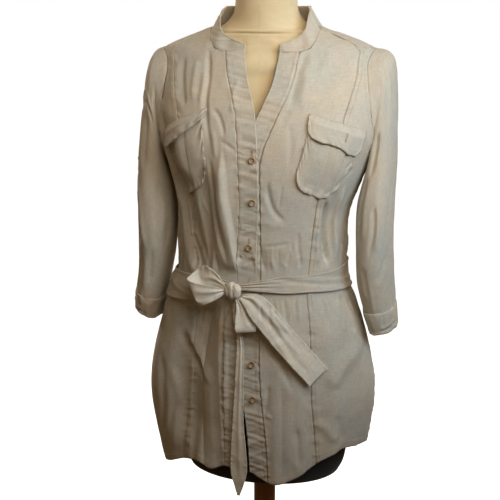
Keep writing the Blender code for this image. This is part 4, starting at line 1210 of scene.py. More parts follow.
# %% Creases of the sleeves
# Rise, width, other width, and the angles and rings that it runs through, in pairs. Angle 0 is the
# outer edge, 90 the middle of the front, 180 the inner edge. Ring 0 is the armhole.
LEFT_SLEEVE_CREASES = (
    (-4.5, 5, 6, (86, 3.2, 88, 3.8, 98, 4.8)),
    (2.2, 5, 5, (74, 3.3, 78, 4.2, 84, 5)),
    (-3.6, 9, 9, (102, 4.2, 124, 5.1, 134, 6, 136, 6.6)),
    (2.4, 9, 9, (98, 4.9, 112, 5.6, 116, 6.5)),
    (-4, 8, 3.5, (88, 5.8, 83, 6.2, 85, 6.6, 97, 7.1)),
    (2.6, 4, 8, (80, 5.9, 76, 6.5, 82, 7.1)),
    (-1.8, 8, 8, (62, 5, 68, 5.5, 72, 6)),
    (-1.8, 6, 6, (44, 7.3, 60, 7.6, 82, 8)),
    (1.4, 6, 6, (40, 7.6, 58, 7.9, 78, 8.2)),
    (-1.8, 8, 8, (52, 1, 54, 2.4, 58, 4.4)),
    (1.6, 8, 8, (42, 0.9, 45, 2.4, 48, 4.6)),
    (-1.6, 8, 8, (30, 1.2, 34, 2.6, 38, 4.2)),
    (-2, 8, 8, (120, 7.2, 110, 7.8, 106, 8.4)),
    (-2.4, 7, 8, (145, 7, 138, 7.8, 130, 8.6)),
    (1.6, 6, 7, (98, 7.9, 96, 8.5, 100, 9.1)),
    (-2, 7, 7, (20, 5.6, 35, 6.2, 44, 6.8)),
    (-2, 8, 8, (18, 8, 26, 8.6, 28, 9.2)),
)
RIGHT_SLEEVE_CREASES = (
    (-2.4, 4, 5, (74, 0.7, 86, 1, 99, 1.5)),
    (1.6, 4, 5, (70, 1, 84, 1.4, 96, 1.9)),
    (1.8, 5, 4, (18, 4.3, 45, 3.1, 70, 2.4, 92, 2)),
    (-2.4, 6, 5, (18, 4.7, 48, 3.5, 74, 2.8, 96, 2.3)),
    (-2.8, 12, 12, (66, 3.2, 70, 4.4, 74, 5.4)),
    (2, 10, 12, (40, 3.6, 44, 4.6, 50, 5.6)),
    (1.8, 4, 4, (2, 5.7, 20, 5.6, 38, 5.4)),
    (-2.6, 5, 5, (2, 6.1, 24, 5.9, 44, 5.7)),
    (3.4, 8, 10, (52, 5.8, 60, 6.3, 70, 6.8, 88, 7.3)),
    (-3.6, 7, 6, (36, 6.2, 46, 6.7, 62, 7.3)),
    (-3.4, 9, 9, (146, 5.8, 150, 6.3, 146, 6.9)),
    (-2.8, 10, 9, (112, 4.8, 116, 5.6, 112, 6.5)),
    (2.4, 9, 9, (128, 5.2, 132, 6, 124, 6.8)),
    (-2.4, 8, 8, (100, 7, 106, 7.7, 108, 8.5)),
    (2, 8, 8, (84, 7.4, 88, 8.1, 90, 8.8)),
    (-2.2, 7, 7, (58, 7.6, 60, 8.2, 66, 9)),
    (-2, 7, 7, (30, 7.4, 34, 8.2, 30, 9)),
)
SLEEVE_BACK_CREASES = (
    (-2.6, 8, 8, (-70, 0.8, -84, 2, -100, 3.4)),
    (2, 8, 8, (-56, 1, -66, 2.4, -76, 3.8)),
    (-2.2, 10, 9, (-110, 3.4, -116, 4.4, -118, 5.3)),
    (-3.6, 7, 8, (-52, 5.8, -84, 6, -116, 6.6)),
    (2.6, 7, 7, (-48, 6.2, -82, 6.4, -112, 6.9)),
    (-3, 7, 7, (-44, 6.7, -80, 6.9, -108, 7.3)),
    (-2, 8, 8, (-64, 4.2, -70, 5, -72, 5.7)),
    (-2.2, 8, 8, (-90, 7.5, -94, 8.2, -92, 9)),
    (2, 9, 9, (-66, 7.4, -62, 8.2, -64, 9)),
)
CUFF_CREASES = (
    (-3.2, 4, 6, (96, 9.84, 52, 9.76, 14, 9.66)),
    (1.6, 6, 4, (92, 9.72, 52, 9.64, 16, 9.54)),
    (-2.2, 5, 7, (70, 9.1, 76, 9.4, 80, 9.7)),
    (-1.8, 6, 6, (140, 9.15, 132, 9.5, 128, 9.85)),
    (1.6, 6, 6, (112, 9.15, 108, 9.5, 104, 9.8)),
    (-1.8, 6, 6, (-60, 9.2, -66, 9.55, -70, 9.85)),
    (1.6, 7, 7, (-110, 9.2, -104, 9.55, -100, 9.85)),
)


# %% Sleeve surface
def curve_through(rings, at):
    """Smooth points between rings: rings has one ring a row, and at are places along the rows."""
    last = len(rings) - 1
    low = np.clip(np.floor(at).astype(int), 0, last - 1)
    t = (at - low)[..., None, None]
    before = rings[np.maximum(low - 1, 0)]
    start = rings[low]
    end = rings[low + 1]
    after = rings[np.minimum(low + 2, last)]
    return (
        start
        + 0.5 * t * (end - before)
        + t**2 * (before - 2.5 * start + 2 * end - 0.5 * after)
        + t**3 * 0.5 * (3 * start - before - 3 * end + after)
    )


def sleeve_rings(side, table, angle, out=0.0):
    """The sleeve's rings from the armhole down, as one row of points a ring."""
    lift = np.cos(angle)
    reach = np.sin(angle)
    depth = np.where(reach > 0, ARMHOLE_FRONT, ARMHOLE_BACK)
    armhole = skin(side * (SIDE_TURN - depth * reach), ARMHOLE_MIDDLE + ARMHOLE_HALF * lift)
    armhole[:, 0] += side * (SEAM + 0.0004)
    power = 2 / SLEEVE_SQUARENESS
    across = np.copysign(np.abs(lift) ** power, lift)
    along = np.copysign(np.abs(reach) ** power, reach)
    rings = [armhole]
    for outer_x, outer_z, inner_x, inner_z, middle_y, half_y in table:
        middle = np.array([side * (outer_x + inner_x) / 2, (outer_z + inner_z) / 2])
        half = np.array([side * (outer_x - inner_x) / 2, (outer_z - inner_z) / 2])
        half = half * (1 + out / np.linalg.norm(half))
        flat = middle + half * across[:, None]
        depth_here = middle_y - (half_y + out) * along
        rings.append(np.stack([flat[:, 0], depth_here, flat[:, 1]], axis=1))
    return np.array(rings)


def faces_round(points):
    """The same as faces_out, on a sheet whose first and last columns meet."""
    outs = faces_out(points)
    outs[:, 0] = unit(outs[:, 0] + outs[:, -1])
    outs[:, -1] = outs[:, 0]
    return outs


def cut_round(name, places, outs, lift):
    """A tube of linen: its last column is lifted as its first is, and joined to it."""
    lift[:, -1] = lift[:, 0]
    cut_sheet(name, places + outs * lift[..., None], LINEN, wrap=True)


def sleeve_surface(side, table, out=0.0):
    """A function of angles and rings that gives points of the sleeve's plain outer face."""

    def surface(angle, ring):
        points = []
        for a, r in zip(np.ravel(angle), np.ravel(ring)):
            rings = sleeve_rings(side, table, np.radians(np.array([a])), out)
            points.append(curve_through(rings, np.array([r]))[0, 0])
        return np.array(points)

    return surface


def make_sleeve(name, side, table, creases, seed, columns=100, rows=146):
    angle = np.linspace(0, 2 * np.pi, columns + 1) * -side
    at = len(table) * (1 - np.linspace(0, 1, rows + 1) ** 0.9)
    places = curve_through(sleeve_rings(side, table, angle), at)
    outs = faces_round(places)
    surface = sleeve_surface(side, table)
    lift = crease_lift(places, outs, creases + SLEEVE_BACK_CREASES, surface)
    across, up = lengths(places)
    from_armhole = up[-1:] - up
    lift += seam_relief(from_armhole, across, 500 + seed, 0.002, 0.9)
    lift += crumple(places, seed)
    # eased cloth at the head of the sleeve, and nothing lifted at the seam itself
    rise, spacing, reach = EASE
    lift += rise * wander(across, spacing, 520 + seed) * bell(from_armhole / reach)
    lift *= smooth_step((from_armhole + 0.0015) / 0.006)
    tucked = bell(from_armhole / 0.0009)
    places = places + (unit(places[-1:] - places[-2:-1]) * 0.0012 - outs * 0.0005) * tucked[..., None]
    under_arm = np.abs((across / across[:, -1:]) - 0.5) * across[:, -1:]
    lift += seam_relief(under_arm, up, 530 + seed, 0.006, 0.6)
    lift[:, -1] = lift[:, 0]
    # the cuff presses the sleeve's end flat
    under_cuff = smooth_step((CUFF_HEIGHT - up) / 0.004)
    lift = lift * (1 - 0.85 * under_cuff)
    cut_round("sleeve_" + name, places, outs, lift)
    print(f"sleeve_{name}: {columns} by {rows}")


def make_cuff(name, side, table, seed, columns=100, rows=16):
    angle = np.linspace(0, 2 * np.pi, columns + 1) * -side
    at = np.linspace(len(table), len(table) - 1, rows + 1)
    places = curve_through(sleeve_rings(side, table, angle, CLOTH + LAY), at)
    places[..., 2] -= CUFF_DROP
    outs = faces_round(places)
    across, up = lengths(places)
    from_top = up[-1:] - up
    lift = crumple(places, seed + 20) * 0.7
    for away in (up, from_top):
        lift += seam_relief(away, across, 540 + seed, 0.004, 0.8)
    lift += 0.0007 * wander(across, 0.016, 550 + seed)
    lift -= 0.0018 * smooth_step(1 - from_top / 0.010)
    lift += crease_lift(places, outs, CUFF_CREASES, sleeve_surface(side, table, CLOTH + LAY))
    cut_round("cuff_" + name, places, outs, lift)
    print(f"cuff_{name}: {columns} by {rows}")


make_sleeve("left", 1, SLEEVE_LEFT, LEFT_SLEEVE_CREASES, 9)
make_cuff("left", 1, SLEEVE_LEFT, 9)
make_sleeve("right", -1, SLEEVE_RIGHT, RIGHT_SLEEVE_CREASES, 10)
make_cuff("right", -1, SLEEVE_RIGHT, 10)

# %% [markdown]
# ## Pockets and flaps
#
# A safari jacket's patch pockets have a box pleat down the middle and a buttoned flap. Each is a
# grid again, laid on the chest as its paper pattern would be: so far across from the pocket's middle
# and so far down from its top. The pleat is a raised strip with one crisp edge. The flap is stitched
# down along its top and hangs free below, so its lower edge stands off and drops a thin shadow.

# %% Pocket sizes
POCKET_TURN = 53.0
POCKET_TOP = 1.221
POCKET_BEND = 0.190
POCKET_HALF_WIDTH = 0.0485
POCKET_DEPTH = 0.124
POCKET_CORNER = 0.034
POCKET_BULGE = 0.004
POCKET_MOUTH = 0.006  # how far down the pocket starts, under the flap's seam
PLEAT_RISE = 0.0022
PLEAT_SLOT = 0.0007
EDGE_RISE = (0.0007, 0.0065)  # height and width of the turned-in edge
FLAP_WAVE = 0.0011
FLAP_HALF_WIDTH = 0.0505
FLAP_TOP = -0.006
POCKET_TILT_LEFT = (18.0, 18.0)
POCKET_TILT_RIGHT = (25.0, 10.0)
# Down the pocket, and how far across the pleat's two edges lie.
PLEAT_EDGES_LEFT = (
    (0.0, -0.006, 0.023), (0.04, -0.003, 0.026),
    (0.08, 0.003, 0.031), (0.124, 0.012, 0.038),
)
PLEAT_EDGES_RIGHT = ((0.0, -0.01, 0.014), (0.06, -0.008, 0.016), (0.124, -0.004, 0.02))
# Across and down of each flap's lower edge, with its rounded corners.
FLAP_EDGE_LEFT = (
    (-0.0505, 0.016), (-0.048, 0.026), (-0.042, 0.0325), (-0.032, 0.0355),
    (-0.02, 0.036), (-0.006, 0.0345), (0.006, 0.0345), (0.018, 0.037),
    (0.03, 0.0405), (0.04, 0.0405), (0.047, 0.0355), (0.0505, 0.024),
)
FLAP_EDGE_RIGHT = (
    (-0.0505, 0.0), (-0.046, 0.01), (-0.038, 0.0165), (-0.028, 0.0205),
    (-0.014, 0.024), (0.004, 0.0275), (0.026, 0.0305), (0.04, 0.031),
    (0.047, 0.027), (0.0505, 0.018),
)


# %% Pockets and flaps
def on_chest(side, tilt, across, down, out):
    """A pattern point of a pocket on the chest: across is away from the centre front."""
    slope, lean = map(math.radians, tilt)
    over = across * math.cos(slope) - down * math.sin(lean)
    fall = across * math.sin(slope) + down * math.cos(lean)
    turn = POCKET_TURN + np.degrees(over / POCKET_BEND)
    return on_jacket(side * turn, POCKET_TOP - fall, out)


def bridged(places):
    """A pocket is firmer than the panel under it, so it spans the panel's narrow troughs."""
    level = places.copy()
    for _ in range(50):
        level[1:-1] = (level[:-2] + 2 * level[1:-1] + level[2:]) / 4
        level[:, 1:-1] = (level[:, :-2] + 2 * level[:, 1:-1] + level[:, 2:]) / 4
    outs = faces_out(level)
    rise = ((level - places) * outs).sum(axis=2, keepdims=True)
    return places + outs * np.maximum(rise, 0.0), outs


def corner_lift(across, half_width, corner):
    """How much higher a rounded lower corner lies than the straight edge."""
    into = np.clip(corner - (half_width - np.abs(across)), 0, corner)
    return corner - np.sqrt(corner**2 - into**2)


def pocket_out(across, down):
    u = across / POCKET_HALF_WIDTH
    v = (down - POCKET_MOUTH) / (POCKET_DEPTH - POCKET_MOUTH)
    belly = np.cos(np.pi * u / 2) * np.sin(np.pi * np.minimum(1.0, v + 0.15))
    return CLOTH + LAY + POCKET_BULGE * np.maximum(0.0, belly)


def flap_out(across, down, edge, curl):
    v = (down - FLAP_TOP) / (edge - FLAP_TOP)
    belly = np.cos(np.pi * across / FLAP_HALF_WIDTH / 2) * 0.8 + 0.2
    rise = CLOTH + LAY + POCKET_BULGE * belly
    return CLOTH + LAY + rise * np.minimum(1.0, v * 3) + curl * smooth_step((v - 0.45) / 0.55)


def pattern_grid(side, half_width, top, bottom, columns, rows):
    """Places across and down a patch; bottom gives its lower edge for places across it."""
    across = half_width * side * np.linspace(-1, 1, columns + 1)[None, :]
    share = np.linspace(1, 0, rows + 1)[:, None]
    down = top + (bottom(across) - top) * share
    return across + 0 * down, down


def pocket_bottom(across):
    return POCKET_DEPTH - corner_lift(across, POCKET_HALF_WIDTH, POCKET_CORNER)


def make_pocket(name, side, tilt, pleat, seed):
    across, down = pattern_grid(side, POCKET_HALF_WIDTH, POCKET_MOUTH, pocket_bottom, 64, 76)
    out = pocket_out(across, down)
    near, far = read(pleat, down)
    # the pleat stands up to a sharp outer fold, with a deep slot beside it
    out += PLEAT_RISE * smooth_step((across - near) / 0.016) * smooth_step((far - across) / 0.0012)
    out -= PLEAT_RISE * bell((across - far - 0.0012) / 0.0014) * smooth_step(down / 0.03)
    out -= PLEAT_SLOT * bell((across - near + 0.0012) / 0.0013)
    places, outs = bridged(on_chest(side, tilt, across, down, 0.0))
    wide, tall = lengths(places)
    to_side = np.minimum(wide, wide[:, -1:] - wide)
    away = np.minimum(to_side, tall)
    around = np.where(to_side < tall, tall, wide + 0.2)
    out += seam_relief(away, around, 600 + seed, 0.008, 1.7) + EDGE_RISE[0] * (away < EDGE_RISE[1])
    out += 0.5 * crumple(places, seed)
    cut_sheet("pocket_" + name, places + outs * out[..., None], LINEN)
    print("pocket:", name)


def make_flap(name, side, tilt, edge_table, curl, seed):
    bottom = partial(read_one, edge_table)
    across, down = pattern_grid(side, FLAP_HALF_WIDTH, FLAP_TOP, bottom, 64, 34)
    out = flap_out(across, down, bottom(across), curl)
    places, outs = bridged(on_chest(side, tilt, across, down, 0.0))
    wide, tall = lengths(places)
    from_top = tall[-1:] - tall
    away = np.minimum(np.minimum(wide, wide[:, -1:] - wide), tall)
    out += seam_relief(away, wide + 0.7 * tall, 620 + seed, 0.006, 0.8)
    out += seam_relief(from_top, wide, 630 + seed, 0.003, 0.9)
    waves = wander(wide + 0.2 * tall, 0.012, 640 + seed)
    out += FLAP_WAVE * waves * smooth_step(1 - tall / tall[-1:])
    out += 0.5 * crumple(places, seed + 3)
    cut_sheet("flap_" + name, places + outs * out[..., None], LINEN)
    print("flap:", name)


make_pocket("left", 1, POCKET_TILT_LEFT, PLEAT_EDGES_LEFT, 12)
make_flap("left", 1, POCKET_TILT_LEFT, FLAP_EDGE_LEFT, 0.0014, 12)
make_pocket("right", -1, POCKET_TILT_RIGHT, PLEAT_EDGES_RIGHT, 14)
make_flap("right", -1, POCKET_TILT_RIGHT, FLAP_EDGE_RIGHT, 0.0045, 14)

# %% [markdown]
# ## Buttons
#
# A shirt button is turned from a sheet of horn: a dished middle with four holes, a rounded rim and a
# flat back. A cylinder would need its rim bevelled and its middle sunk, while a profile spun once
# round its axis gives all of it together. The holes are then bored by a Boolean.

# %% Button
BUTTON_SEAT = 0.0016
BUTTONS_ON_RIGHT_BAND = ((0.0035, 1.162), (0.0035, 1.089), (-0.0035, 1.008), (-0.0035, 0.940))
BUTTONS_ON_LEFT_BAND = ((0.001, 0.867), (0.0035, 0.796), (0.006, 0.730))
# Radius and height of the button's profile, from the middle of its face round to its back.
BUTTON_PROFILE = (
    (0.0, 0.0011), (0.0029, 0.0011), (0.0037, 0.0014), (0.0044, 0.0021),
    (0.005, 0.0024), (0.0055, 0.0023), (0.0059, 0.0018), (0.006, 0.0012),
    (0.0057, 0.0004), (0.005, 0.0), (0.0, 0.0),
)
HOLE_RADIUS = 0.00075
HOLE_OUT = 0.0013
HOLE_LEVEL = 0.001
DRILL_LENGTH = 0.004
BUTTON_THREAD_SIZE = (0.0019, 0.00035, 0.0003)
BUTTON_THREAD_LIFT = 0.00115
THREAD_CROSSING = 0.0002  # the second thread lies this much higher


def spun(name, profile, steps):
    """A mesh turned round Z from radii and heights."""
    work = bmesh.new()
    corners = [work.verts.new((radius, 0.0, height)) for radius, height in profile]
    edges = [work.edges.new(pair) for pair in zip(corners, corners[1:])]
    bmesh.ops.spin(
        work,
        geom=corners + edges,
        cent=(0, 0, 0),
        axis=(0, 0, 1),
        angle=2 * math.pi,
        steps=steps,
        use_merge=True,
    )
    bmesh.ops.remove_doubles(work, verts=work.verts, dist=MERGE)
    bmesh.ops.recalc_face_normals(work, faces=work.faces)
    return mesh_from(work, name)


def bored_button():
    blank = bpy.data.objects.new("blank", spun("blank", BUTTON_PROFILE, 40))
    drill = bmesh.new()
    for k in range(4):
        angle = math.pi / 4 + k * math.pi / 2
        at = Matrix.Translation((HOLE_OUT * math.cos(angle), HOLE_OUT * math.sin(angle), HOLE_LEVEL))
        bmesh.ops.create_cone(
            drill,
            cap_ends=True,
            segments=10,
            radius1=HOLE_RADIUS,
            radius2=HOLE_RADIUS,
            depth=DRILL_LENGTH,
            matrix=at,
        )
    drills = bpy.data.objects.new("drills", mesh_from(drill, "drills"))
    for helper in (blank, drills):
        bpy.context.scene.collection.objects.link(helper)
    cut = blank.modifiers.new("holes", "BOOLEAN")
    cut.operation = "DIFFERENCE"
    cut.object = drills
    bored = bpy.data.meshes.new_from_object(blank.evaluated_get(bpy.context.evaluated_depsgraph_get()))
    for helper in (blank, drills):
        bpy.data.objects.remove(helper)
    return bored


def make_button(name, across, height, seat, bored):
    face = Vector((on_front(across, height, 1.0) - on_front(across, height, 0.0)).ravel())
    place = Matrix.Translation(Vector(on_front(across, height, seat).ravel()))
    place = place @ face.to_track_quat("Z", "Y").to_matrix().to_4x4()
    work = bmesh.new()
    work.from_mesh(bored)
    for k in range(2):
        turn = Matrix.Rotation(math.pi / 4 + k * math.pi / 2, 4, "Z")
        lift = Matrix.Translation((0.0, 0.0, BUTTON_THREAD_LIFT + THREAD_CROSSING * k))
        shape = Matrix.Diagonal((*BUTTON_THREAD_SIZE, 1.0))
        made = bmesh.ops.create_icosphere(work, subdivisions=2, radius=1.0, matrix=lift @ turn @ shape)
        for thread in {thread for corner in made["verts"] for thread in corner.link_faces}:
            thread.material_index = 1
    bmesh.ops.transform(work, matrix=place, verts=work.verts)
    mesh = mesh_from(work, name)
    mesh.shade_smooth()
    button = add_piece(name + "_horn", mesh, HORN, BUTTON_THREAD)
    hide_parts(name)


BORED = bored_button()
BUTTONS = [(*place, BUTTON_SEAT) for place in BUTTONS_ON_RIGHT_BAND]
BUTTONS += [(*place, BUTTON_SEAT - UNDERLAP) for place in BUTTONS_ON_LEFT_BAND]
for number, (across, height, seat) in enumerate(BUTTONS, 1):
    make_button(f"button_{number}", across, height, seat, BORED)
print("buttons:", len(BUTTONS))

# %% [markdown]
# ## The belt and its bow
#
# The tie belt is a flat tube of linen, pressed and edge-stitched. It lies round the waist, gathers
# towards the knot and is tied in a half bow: a loop to the wearer's right, a small loop that hangs
# down, and two ends. A simulation of a bow is slow and rarely ties itself neatly. Here each stretch
# is a ribbon drawn through stations: how far across, how high, how far off the jacket and how wide.

# %% Belt tables
# Half width of the belt by degrees from the knot: it is drawn together as it comes round to it.
BELT_WIDTHS = (
    (-60.0, 0.025), (-48.0, 0.025), (-36.0, 0.0235), (-24.0, 0.02),
    (-12.0, 0.014), (-5.0, 0.009), (0.0, 0.0062), (5.0, 0.0062),
    (13.0, 0.0082), (25.0, 0.0115), (42.0, 0.0155), (55.0, 0.0155),
    (66.0, 0.0172), (78.0, 0.0195), (95.0, 0.0232), (120.0, 0.025),
)
# Along each ribbon: across, height and distance off the jacket of its first edge, then of its other.
BOW_LOOP = (
    (-0.042, 0.923, 0.02, -0.042, 0.933, 0.0205),
    (-0.056, 0.911, 0.029, -0.059, 0.9355, 0.031),
    (-0.0765, 0.898, 0.037, -0.0935, 0.9375, 0.038),
    (-0.0815, 0.901, 0.034, -0.1, 0.944, 0.033),
    (-0.08, 0.91, 0.0185, -0.096, 0.961, 0.016),
    (-0.07, 0.923, 0.013, -0.079, 0.97, 0.013),
    (-0.057, 0.929, 0.0125, -0.059, 0.96, 0.0135),
    (-0.044, 0.93, 0.0125, -0.044, 0.939, 0.014),
)
HANGING_LOOP = (
    (-0.016, 0.918, 0.02, -0.022, 0.915, 0.0205),
    (-0.004, 0.906, 0.0185, -0.02, 0.9, 0.0235),
    (0.0075, 0.891, 0.018, -0.0205, 0.88, 0.0285),
    (0.014, 0.872, 0.0195, -0.0195, 0.864, 0.0315),
    (0.0125, 0.86, 0.0165, -0.0185, 0.857, 0.024),
    (0.007, 0.864, 0.0135, -0.022, 0.862, 0.014),
    (-0.001, 0.88, 0.01, -0.0285, 0.878, 0.0105),
    (-0.01, 0.9, 0.009, -0.0285, 0.898, 0.01),
    (-0.0185, 0.9145, 0.0105, -0.025, 0.9145, 0.011),
)
# The two ends hang straight, so they need only their middle and half width.
SLANTING_END = (
    (-0.0108, 0.9215, 0.021, 0.007), (0.0055, 0.9155, 0.0245, 0.016),
    (0.0215, 0.8975, 0.024, 0.0205), (0.039, 0.875, 0.0185, 0.0208),
    (0.058, 0.8505, 0.012, 0.0212), (0.0785, 0.826, 0.008, 0.0216),
    (0.1, 0.801, 0.007, 0.0218), (0.1215, 0.7745, 0.0065, 0.0216),
)
HANGING_END = (
    (-0.031, 0.9205, 0.0066, 0.005), (-0.024, 0.88, 0.0048, 0.006),
    (-0.016, 0.835, 0.0062, 0.006), (-0.017, 0.765, 0.0066, 0.008),
    (-0.02, 0.69, 0.0066, 0.01), (-0.0205, 0.625, 0.0066, 0.0145),
    (-0.021, 0.585, 0.007, 0.015), (-0.022, 0.555, 0.007, 0.0085),
    (-0.0235, 0.533, 0.007, 0.002),
)


# %% Belt, bow and ends
BUTTON_SPREAD = 26.0  # degrees round the button under the belt over which it lifts the belt
PLEAT_SPREAD = 26.0  # degrees from the knot over which the belt is pleated
BELT_PLEAT = 0.0016
BACK_JOIN = 16.0  # degrees over which the waves die out, where the two ways round meet
EDGE_SEAM = 0.0004


def make_belt(columns=420, rows=30):
    knot_turn = float(turn_at(KNOT_ACROSS, np.array(KNOT_HEIGHT)))
    button_turn = float(turn_at(*map(np.array, BUTTONS_ON_RIGHT_BAND[-1])))
    turn = signed(knot_turn + 360.0 * np.linspace(0, 1, columns + 1))[None, :]
    from_knot = signed(turn - knot_turn)
    share = np.linspace(-1, 1, rows + 1)[:, None]
    half = read_one(BELT_WIDTHS, from_knot)
    height = read_one(BELT_LINE, turn) + half * share
    near_button = np.maximum(0.0, 1 - np.abs(signed(turn - button_turn)) / BUTTON_SPREAD)
    out = BELT_WALL + BELT_LAY + BELT_OVER_BUTTON * np.minimum(1.0, near_button * 1.8)
    places = on_jacket(turn, height, 0.0)
    along = np.radians(from_knot) * 0.15
    # pleats that run into the knot, and long soft waves further round
    pleats = np.cos(share * 3.2 * np.pi + 1.2 * wander(along, 0.05, 700))
    out = out + BELT_PLEAT * pleats * bell(np.abs(from_knot) / PLEAT_SPREAD) * (1 - share**2)
    waves = 0.0011 * wander(along + 0.004 * share, 0.026, 701) * (1 - 0.5 * share**2)
    waves += 0.0008 * wander(height * 6 + along, 0.045, 702)
    out += waves * smooth_step((180.0 - np.abs(from_knot)) / BACK_JOIN)
    out += EDGE_SEAM * smooth_step((np.abs(share) - 0.80) / 0.06)
    out += crumple(places, 16) * 0.8
    out[:, -1] = out[:, 0]
    cut_sheet("belt_band", on_jacket(turn, height, out), LINEN, BELT_WALL, wrap=True)
    print("belt:", columns, "by", rows)


def edges_of(stations, across, tip=0.0):
    """The two edges of a straight ribbon; tip moves its first edge nearer to the jacket."""
    made = []
    for x, height, out, half in stations:
        step = (across[0] * half, across[1] * half)
        first = (x + step[0], height + step[1], out - tip * half)
        made.append(first + (x - step[0], height - step[1], out + tip * half))
    return tuple(made)


PINCH = 0.22  # share of a ribbon's length that the knot pinches


def ribbon(name, stations, seed, columns=26, rows=110, creases=(), tied_back=False):
    """creases: where each starts and ends along, where it lies across, its width and its rise."""
    table = np.array(stations)[:, None, :]
    at = (len(stations) - 1) * np.linspace(0, 1, rows + 1)
    line = curve_through(table, at)
    across = np.linspace(0, 1, columns + 1)[None, :]
    spots = line[..., :3] * (1 - across[..., None]) + line[..., 3:] * across[..., None]
    share = 2 * across - 1
    along = (at / at[-1])[:, None]
    pinch = bell(along / PINCH) + tied_back * bell((1 - along) / PINCH)
    out = spots[..., 2] + 0.0012 * pinch * np.cos(share * 2.6 * np.pi + seed) * (1 - share**2)
    for start, end, where, wide, most in creases:
        inside = smooth_step((along - start) / 0.08) * smooth_step((end - along) / 0.08)
        out += most * inside * bell((share - where) / wide)
    out += 0.0003 * smooth_step((np.abs(share) - 0.82) / 0.06)
    places = on_front(spots[..., 0], spots[..., 1], out)
    wide, tall = lengths(places)
    away = np.minimum(wide, wide[:, -1:] - wide)
    relief = crumple(places, seed) * 0.7 + 0.0007 * wander(along + 0.03 * share, 0.09, 710 + seed)
    relief += 0.0007 * wander(tall + 0.4 * wide, 0.0045, 720 + seed) * bell(away / 0.004)
    places = on_front(spots[..., 0], spots[..., 1], out + relief)
    # The loops and ends are cut from the lighter copy of the linen, a painted highlight for the light
    # that they catch.
    cut_sheet(name, places, BOW_LINEN_PAINTED_LIGHTER, BELT_WALL)
    print(f"{name}: {columns} by {rows}")


LOOP_CREASES = (
    (0.04, 0.3, 0.2, 0.22, 0.0018),
    (0.08, 0.34, -0.45, 0.2, -0.0014),
    (0.6, 0.97, 0.1, 0.25, 0.0018),
)
HANGING_LOOP_CREASES = ((0.05, 0.4, -0.2, 0.25, 0.0014),)
SLANTING_CREASES = (
    (0.02, 0.55, -0.3, 0.2, 0.0024),
    (0.05, 0.62, 0.15, 0.22, -0.002),
    (0.3, 0.62, -0.62, 0.14, 0.0018),
    (0.48, 0.8, -0.1, 0.2, 0.0014),
    (0.7, 0.95, 0.4, 0.2, -0.001),
)
HANGING_CREASES = ((0.1, 0.8, -0.1, 0.3, 0.0012),)
SLANTING_EDGES = edges_of(SLANTING_END, (0.73, 0.68), 0.16)
HANGING_EDGES = edges_of(HANGING_END, (1.0, 0.0))

make_belt()
ribbon("bow_loop", BOW_LOOP, 17, creases=LOOP_CREASES, tied_back=True)
ribbon("hanging_loop", HANGING_LOOP, 18, creases=HANGING_LOOP_CREASES, tied_back=True)
ribbon("slanting_end", SLANTING_EDGES, 19, rows=170, creases=SLANTING_CREASES)
ribbon("hanging_end", HANGING_EDGES, 20, rows=260, creases=HANGING_CREASES)


# %% Knot
KNOT_BOXING = 0.8  # under 1 swells the ball towards a box
WRAP_SPACING = 0.0115
WRAP_LEAN = 0.45
VALLEY_AT = 0.0048  # where the last turn of the wrap tucks in
VALLEY_HALF = 0.0014
KNOT_TURN = math.radians(18.0)


def make_knot():
    work = bmesh.new()
    bmesh.ops.create_icosphere(work, subdivisions=6, radius=1.0)
    size = Vector(KNOT_SIZE)
    for corner in work.verts:
        rounded = Vector([math.copysign(abs(c) ** KNOT_BOXING, c) * s for c, s in zip(corner.co, size)])
        x, y, z = rounded
        lean = x + WRAP_LEAN * z
        uneven = 2.5 * noise.noise(Vector((x, y, z)) / 0.010)
        wrap = math.cos(2 * math.pi * lean / WRAP_SPACING + uneven)
        valley = math.exp(-(((lean - VALLEY_AT) / VALLEY_HALF) ** 2))
        fine = noise.noise(Vector((x * 2.2, y, z * 0.7)) / 0.004)
        relief = 0.0005 * wrap - 0.0009 * valley + 0.0003 * fine
        corner.co = rounded + corner.co.normalized() * relief
    face = Vector((on_front(KNOT_ACROSS, KNOT_HEIGHT, KNOT_SIZE[1] + KNOT_LAY)).ravel())
    turned = Matrix.Rotation(-KNOT_TURN, 4, "Z") @ Matrix.Rotation(KNOT_TURN, 4, "Y")
    bmesh.ops.transform(work, matrix=Matrix.Translation(face) @ turned, verts=work.verts)
    mesh = mesh_from(work, "belt_knot_tied")
    give_cut(mesh, corner_places(mesh)[:, [0, 2]])
    mesh.shade_smooth()
    # The knot wears the lighter copy of the linen too, a painted highlight for the light that it catches.
    knot = add_piece("belt_knot_tied", mesh, BOW_LINEN_PAINTED_LIGHTER)
    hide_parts("belt_knot")
    print("knot:", len(mesh.polygons), "faces")


make_knot()

# %% [markdown]
# ## The dress form and its stand
#
# The form is a padded body with no limbs. Cream jersey covers it down to the hip and black jersey
# below, and a seam runs round the base of its neck. Where the jacket hides it, the jersey is drawn in
# a few millimetres, so that the cloth's creases never touch it. The pole and the foot are turned
# wood, each spun from its profile.

